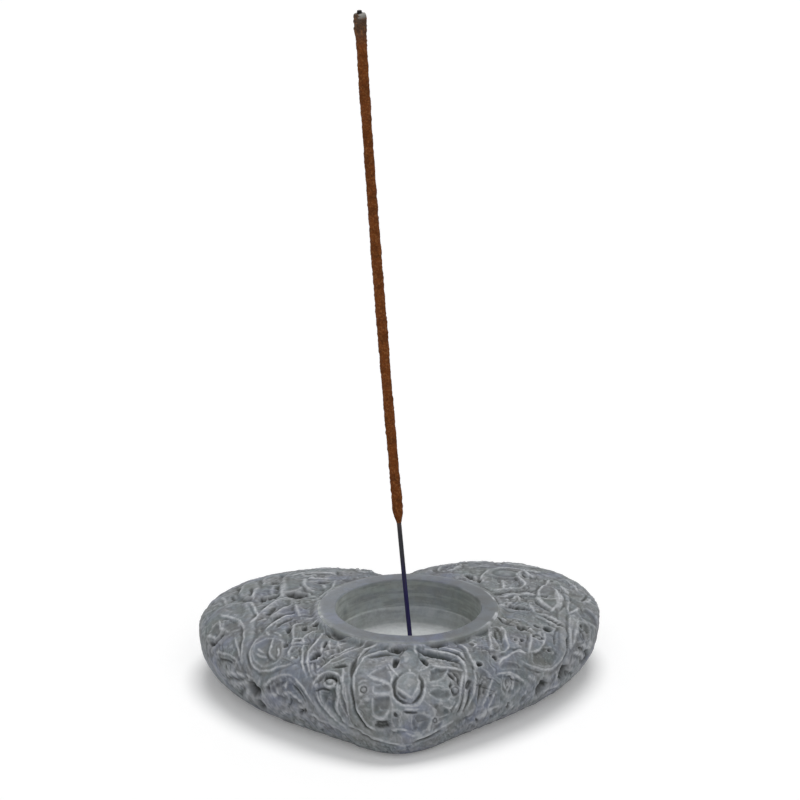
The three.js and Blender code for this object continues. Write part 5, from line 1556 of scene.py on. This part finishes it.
def cup_tones(size, bearings, cup):
    """Shares of worn edge with painted highlight, painted shade, chalky paleness with painted light, turned
    wall and rubbed rim on the cup.
    """
    x, y, z = cup[..., 0], cup[..., 1], cup[..., 2]
    top = size.height / MM
    floor = top - size.cup_depth / MM
    sideways = np.cos(bearings)
    rubbed = np.clip(0.3 + 1.1 * grain(x, y, 2.2, 91), 0, 1)
    streaks = np.clip(0.6 + 0.9 * grain(y, z, 1.8, 93), 0, 1)
    edges = np.zeros(cup.shape[:2])
    # Painted highlight: the rim's edge is painted paler at the left and the right.
    edges[RIM_EDGE] = (0.25 + 0.9 * smooth(0.8, 1.0, np.abs(sideways))) * rubbed[RIM_EDGE]
    # Painted highlight on the right of the mouth's edge.
    edges[MOUTH_EDGE] = 0.5 * smooth(0.3, 1.0, sideways) * rubbed[MOUTH_EDGE]
    edges[STEP_EDGE] = 0.5 * (0.5 + 0.5 * rubbed[STEP_EDGE])
    edges[FLOOR_EDGE] = 0.3 * (0.5 + 0.5 * rubbed[FLOOR_EDGE])
    below_top = 1 - smooth(top - 0.5, top - 0.1, z)
    wall = smooth(floor + 0.4, floor + 1.0, z) * below_top
    upper = wall * smooth(floor + 4.5, floor + 7.0, z)
    rim = smooth(top - 0.9, top - 0.3, z)
    # Painted shade on the rim, most on the right and none on the left, and on the wall, more towards the
    # right.
    shade = rim * (0.06 + 0.2 * smooth(-0.2, 0.9, sideways) - 0.06 * smooth(0.2, 0.9, -sideways))
    shade += 0.12 * wall * smooth(-0.8, 0.6, sideways)
    chalk = (1 - 0.55 * smooth(floor + 0.3, floor + 0.9, z)) * below_top
    # Painted light: the rim paler on the left, the upper wall paler on the left and, less, on the right.
    chalk += 0.12 * rim * smooth(0.2, 0.9, -sideways)
    chalk += 0.34 * upper * streaks * smooth(0.55, 0.97, -sideways)
    chalk += 0.16 * upper * streaks * smooth(0.75, 0.99, sideways)
    return edges, shade, chalk, wall, rim


class INCENSE_OT_stone(bpy.types.Operator):
    """Carve the heart-shaped soapstone block with its turned cup"""

    bl_idname = "incense.stone"
    bl_label = "Soapstone Heart"

    def execute(self, context):
        size, look = context.scene.stone_sizes, context.scene.finishes
        bearings = crowded_bearings()
        radius, height, over, to_base = dressed_surface(size, bearings)
        base = np.stack([size.cup_x / MM + radius * np.cos(bearings), radius * np.sin(bearings), height], 2)
        depth, pale, dark, dust = carve(size, bearings, over, over[TOP_ROWS] - over, to_base)
        shell = base + grid_normals(base) * depth[..., None]
        shell = np.clip(shell, np.array(CAD_LOW) / MM, np.array(CAD_HIGH) / MM)
        shell[-1, :, 2] = 0
        crest, cavity = wear_soot_and_shade(shell, pale, dark)
        # Painted shade: the lobes at the back are painted darker.
        cavity += BACK_SHADE * smooth(0.0, 18.0, base[..., 1])
        cup = cup_rows(size, bearings)
        edges, shade, chalk, wall, rim = cup_tones(size, bearings, cup)
        poles = [
            [cup[0, :, 0].mean(), cup[0, :, 1].mean(), cup[0, 0, 2]],
            [size.cup_x / MM, 0, 0],
        ]
        mesh = grid_mesh("soapstone_heart", np.concatenate([cup, shell]), poles)
        plain = 0 * depth
        put_values(
            mesh,
            crest=np.concatenate([edges, np.clip(crest, 0, 1)]),
            cavity=np.concatenate([shade, np.clip(cavity, 0, 1)]),
            dust=np.concatenate([0 * edges, dust]),
            chalk=np.concatenate([chalk, plain]),
            wall=np.concatenate([wall, plain]),
            rim=np.concatenate([rim, plain]),
        )
        place_piece(mesh, soapstone(look), "holder", "soapstone", "stone_heart")
        return {"FINISHED"}


class INCENSE_OT_core(bpy.types.Operator):
    """Split the thin bamboo core of the stick"""

    bl_idname = "incense.core"
    bl_label = "Bamboo Core"

    def execute(self, context):
        size, stone, look = context.scene.stick_sizes, context.scene.stone_sizes, context.scene.finishes
        total = size.length / MM
        middle = np.linspace(0.6, total - 0.5, CORE_ROWS)
        along = np.concatenate([[0.0, 0.05, 0.2], middle, [total - 0.2, total - 0.05, total]])
        turn = np.linspace(0, TURN, CORE_SIDES, endpoint=False)
        ends = smooth(-0.25, 0.3, np.minimum(along, total - along))[:, None]
        up = along[:, None]
        fibres = 0.03 * grain(np.cos(turn) * 3 + 0 * up, np.sin(turn) * 3 + up / 30, 0.7, 21)
        flats = 0.025 * np.cos(4 * turn + 0.4)
        radius = (size.core / MM / 2 - CORE_ROUGHNESS + fibres + flats) * (0.8 + 0.2 * ends)
        centre, _ = stick_line(size, stone, np.array([0.0, total]))
        mesh = grid_mesh("bamboo_stick", round_rows(size, stone, along, radius)[:, ::-1], centre)
        put_values(mesh, along=np.repeat(along, len(turn)))
        place_piece(mesh, dyed_bamboo(look, total), "stick", "dyed_bamboo", "bamboo_core")
        return {"FINISHED"}


def dyed_bamboo(look, total):
    """Split bamboo: long fibres, brown-grey under the paste, dyed violet at the foot, charred at the tip."""
    material, n, shader, place = new_material("Dyed bamboo", Specular_IOR_Level=0.2)
    along = n.value("along")
    drawn = n.add("ShaderNodeMapping", Vector=place, Scale=(1.0, 1.0, 0.03))
    streak = n.clouds(drawn, scale=1500.0, specks=4200.0, distortion=0.0)
    streaks = n.clouds(drawn, scale=1500.0, specks=4200.0, distortion=0.0, output=1)
    body = n.mix(n.spread(along, 27.0, 41.0), look.dye, look.bamboo_grey)
    body = n.mix(n.spread(along, 44.5, 48.0), body, look.bamboo)
    body = n.mix(n.times(streak, 0.45), body, look.char)
    body = n.mix(n.times(streaks, 0.06), body, look.ash)
    body = n.mix(n.spread(along, total - 1.4, total - 0.9), body, look.char)
    n.set(shader, "Base Color", body)
    n.set(shader, "Roughness", n.spread(streaks, 0.0, 1.0, 0.5, 0.72))
    n.set(shader, "Normal", n.add("ShaderNodeBump", Height=streaks, Strength=0.5, Distance=0.00005))
    return material


class INCENSE_OT_paste(bpy.types.Operator):
    """Roll the incense paste on the core"""

    bl_idname = "incense.paste"
    bl_label = "Incense Paste"

    def execute(self, context):
        size, stone, look = context.scene.stick_sizes, context.scene.stone_sizes, context.scene.finishes
        start, end = size.paste_start / MM, (size.length - size.stub) / MM
        last = end - 0.4 + 0.4 * np.sin(np.linspace(0.3, 1, 5) * math.pi / 2)
        along = np.concatenate([np.linspace(start, end - 0.4, PASTE_ROWS), last])
        turn = np.linspace(0, TURN, PASTE_SIDES, endpoint=False)
        full = size.paste / MM / 2 + (size.paste_top - size.paste) / MM / 2 * smooth(end - 9, end - 4, along)
        bore = size.core / MM / 2 + BORE_GAP
        thin = smooth(start - 0.3, start + size.paste_taper / MM, along) ** 0.8
        radius = (bore + PASTE_EDGE + (full - bore - PASTE_EDGE) * thin)[:, None] + 0 * turn
        around, up = turn / TURN * GIRTH, along[:, None]
        wavy = 0.07 * np.sin(up / 5.3 + 0.5) * np.sin(up / 11.7) + 0.03 * np.cos(2 * turn + up / 17)

        def lumpy(side):
            return sum(height * grain(side, up, wide, seed) for height, wide, seed in LUMPS)

        share = smooth(TURN - 0.9, TURN, turn)
        lumps = lumpy(around) * (1 - share) + lumpy(around - GIRTH) * share
        burnt = smooth(end - 8, end - 1, along)[:, None]
        radius = radius - PASTE_ROUGHNESS + (lumps + wavy) * thin[:, None] * (1 + 0.8 * burnt)
        crown = np.clip((along - (end - CROWN)) / CROWN, 0, 1)[:, None]
        radius = radius - CROWN_DROP * crown**2
        outer = round_rows(size, stone, along, np.maximum(radius, bore + 0.05))
        down = np.linspace(end, start, BORE_ROWS)
        inner = round_rows(size, stone, down, np.full((BORE_ROWS, PASTE_SIDES), bore))
        mesh = grid_mesh("paste_coat", np.concatenate([outer, inner])[:, ::-1], ring=True)
        put_values(mesh, along=np.repeat(np.concatenate([along, down]), PASTE_SIDES))
        place_piece(mesh, rolled_paste(look, end), "stick", "incense_paste", "incense_paste")
        return {"FINISHED"}


def rolled_paste(look, end):
    """Dry rolled powder: brown with pale and dark grains, greyer and scorched over the last centimetre."""
    material, n, shader, place = new_material("Incense paste", Specular_IOR_Level=0.2)
    soft = n.clouds(place, scale=420.0, specks=2600.0, distortion=0.3)
    specks = n.clouds(place, scale=420.0, specks=2600.0, distortion=0.3, output=1)
    shifted = n.add("ShaderNodeMapping", Vector=place, Location=(0.11, 0.37, 0.23))
    others = n.clouds(shifted, scale=900.0, specks=1500.0, distortion=0.3, output=1)
    along = n.value("along")
    body = n.mix(n.spread(along, end - 9.5, end - 2.5), look.paste, look.scorched)
    body = n.mix(n.spread(specks, 0.5, 1.0, 0.0, 0.5), body, look.paste_dark)
    body = n.mix(n.spread(others, 0.6, 1.0, 0.0, 0.45), body, look.paste_light)
    body = n.mix(n.spread(soft, 0.3, 1.0, 0.0, 0.35), body, look.paste_dark)
    ash = n.times(n.spread(along, end - 1.6, end - 0.3), n.spread(soft, 0.4, 0.7), clamp=True)
    body = n.mix(ash, body, look.ash)
    n.set(shader, "Base Color", body)
    n.set(shader, "Roughness", n.spread(soft, 0.0, 1.0, 0.85, 1.0))
    surface = n.math("ADD", specks, n.times(others, 0.8))
    n.set(shader, "Normal", n.add("ShaderNodeBump", Height=surface, Strength=0.8, Distance=0.0001))
    return material


def studio_floor(look):
    """White floor that takes shadows; a little of its white is seen by the camera and mirrors alone."""
    material, n, shader, place = new_material("Studio floor", Specular_IOR_Level=0.1, Roughness=0.9)
    dust = n.clouds(place, scale=3.0, specks=700.0, distortion=0.0, output=1)
    white = n.mix(1.0, look.floor, n.grey(n.spread(dust, 0.0, 1.0, 0.995, 1.0)), "MULTIPLY")
    n.set(shader, "Base Color", white)
    shader.inputs["Emission Color"].default_value = (1, 1, 1, 1)
    n.set(shader, "Emission Strength", n.times(seen_directly(n), FLOOR_GLOW))
    return material


def seen_directly(n):
    """1 for rays from the camera, or through glass or off a mirror, and 0 for the rest."""
    path = n.add("ShaderNodeLightPath", output=None)
    either = n.math("MAXIMUM", path.outputs["Is Camera Ray"], path.outputs["Is Glossy Ray"])
    return n.math("MAXIMUM", either, path.outputs["Is Transmission Ray"])


class INCENSE_OT_stage(bpy.types.Operator):
    """Set up the camera, the white floor and the soft studio light"""

    bl_idname = "incense.stage"
    bl_label = "Studio Stage"

    def execute(self, context):
        scene = context.scene
        sides = ((-1, -1), (1, -1), (1, 1), (-1, 1))
        corners = [(x * FLOOR_HALF, y * FLOOR_HALF, -FLOOR_DROP) for x, y in sides]
        mesh = bpy.data.meshes.new("studio_floor")
        mesh.from_pydata(corners, [], [(0, 1, 2, 3)])
        mesh.materials.append(studio_floor(scene.finishes))
        floor = bpy.data.objects.new("studio_floor", mesh)
        scene.collection.objects.link(floor)

        world = bpy.data.worlds.new("Studio")
        world.use_nodes = True
        world.node_tree.nodes.clear()
        n = Nodes(world.node_tree)
        strength = n.math("ADD", AMBIENT, n.times(seen_directly(n), 1.0 - AMBIENT))
        background = n.add("ShaderNodeBackground", Color=(1, 1, 1, 1), Strength=strength)
        n.set(n.tree.nodes.new("ShaderNodeOutputWorld"), "Surface", background)
        scene.world = world

        for name, direction, strength, softness in LIGHTS:
            lamp = bpy.data.lights.new(name, "SUN")
            lamp.energy = strength
            lamp.angle = math.radians(softness)
            holder = bpy.data.objects.new(name, lamp)
            holder.rotation_euler = Vector(direction).to_track_quat("Z", "Y").to_euler()
            scene.collection.objects.link(holder)

        camera = bpy.data.cameras.new("camera")
        camera.lens = CAMERA_LENS
        camera.sensor_width = CAMERA_SENSOR
        camera.sensor_fit = "HORIZONTAL"
        camera.clip_end = 20.0
        viewer = bpy.data.objects.new("camera", camera)
        viewer.location = CAMERA_PLACE
        viewer.rotation_euler = (math.radians(90 - CAMERA_DOWN), 0, math.radians(CAMERA_TURN))
        scene.collection.objects.link(viewer)
        scene.camera = viewer
        scene.view_settings.view_transform = "Standard"
        return {"FINISHED"}


class INCENSE_PT_panel(bpy.types.Panel):
    """Lists the sizes, the finishes and the pieces"""

    bl_label = "Incense Holder"
    bl_idname = "INCENSE_PT_panel"
    bl_space_type = "VIEW_3D"
    bl_region_type = "UI"
    bl_category = "Incense Holder"

    def draw(self, context):
        layout = self.layout
        for group in (context.scene.stone_sizes, context.scene.stick_sizes, context.scene.finishes):
            box = layout.box()
            for key in group.__annotations__:
                box.prop(group, key)
        for operator in OPERATORS:
            layout.operator(operator.bl_idname)


OPERATORS = (INCENSE_OT_stone, INCENSE_OT_core, INCENSE_OT_paste, INCENSE_OT_stage)
CLASSES = (StoneSizes, StickSizes, Finishes, *OPERATORS, INCENSE_PT_panel)


def register():
    for item in CLASSES:
        bpy.utils.register_class(item)
    bpy.types.Scene.stone_sizes = PointerProperty(type=StoneSizes)
    bpy.types.Scene.stick_sizes = PointerProperty(type=StickSizes)
    bpy.types.Scene.finishes = PointerProperty(type=Finishes)


def unregister():
    del bpy.types.Scene.finishes
    del bpy.types.Scene.stick_sizes
    del bpy.types.Scene.stone_sizes
    for item in reversed(CLASSES):
        bpy.utils.unregister_class(item)


def main():
    register()
    bpy.ops.incense.stage()
    bpy.ops.incense.stone()
    bpy.ops.incense.core()
    bpy.ops.incense.paste()


if __name__ == "__main__":
    main()
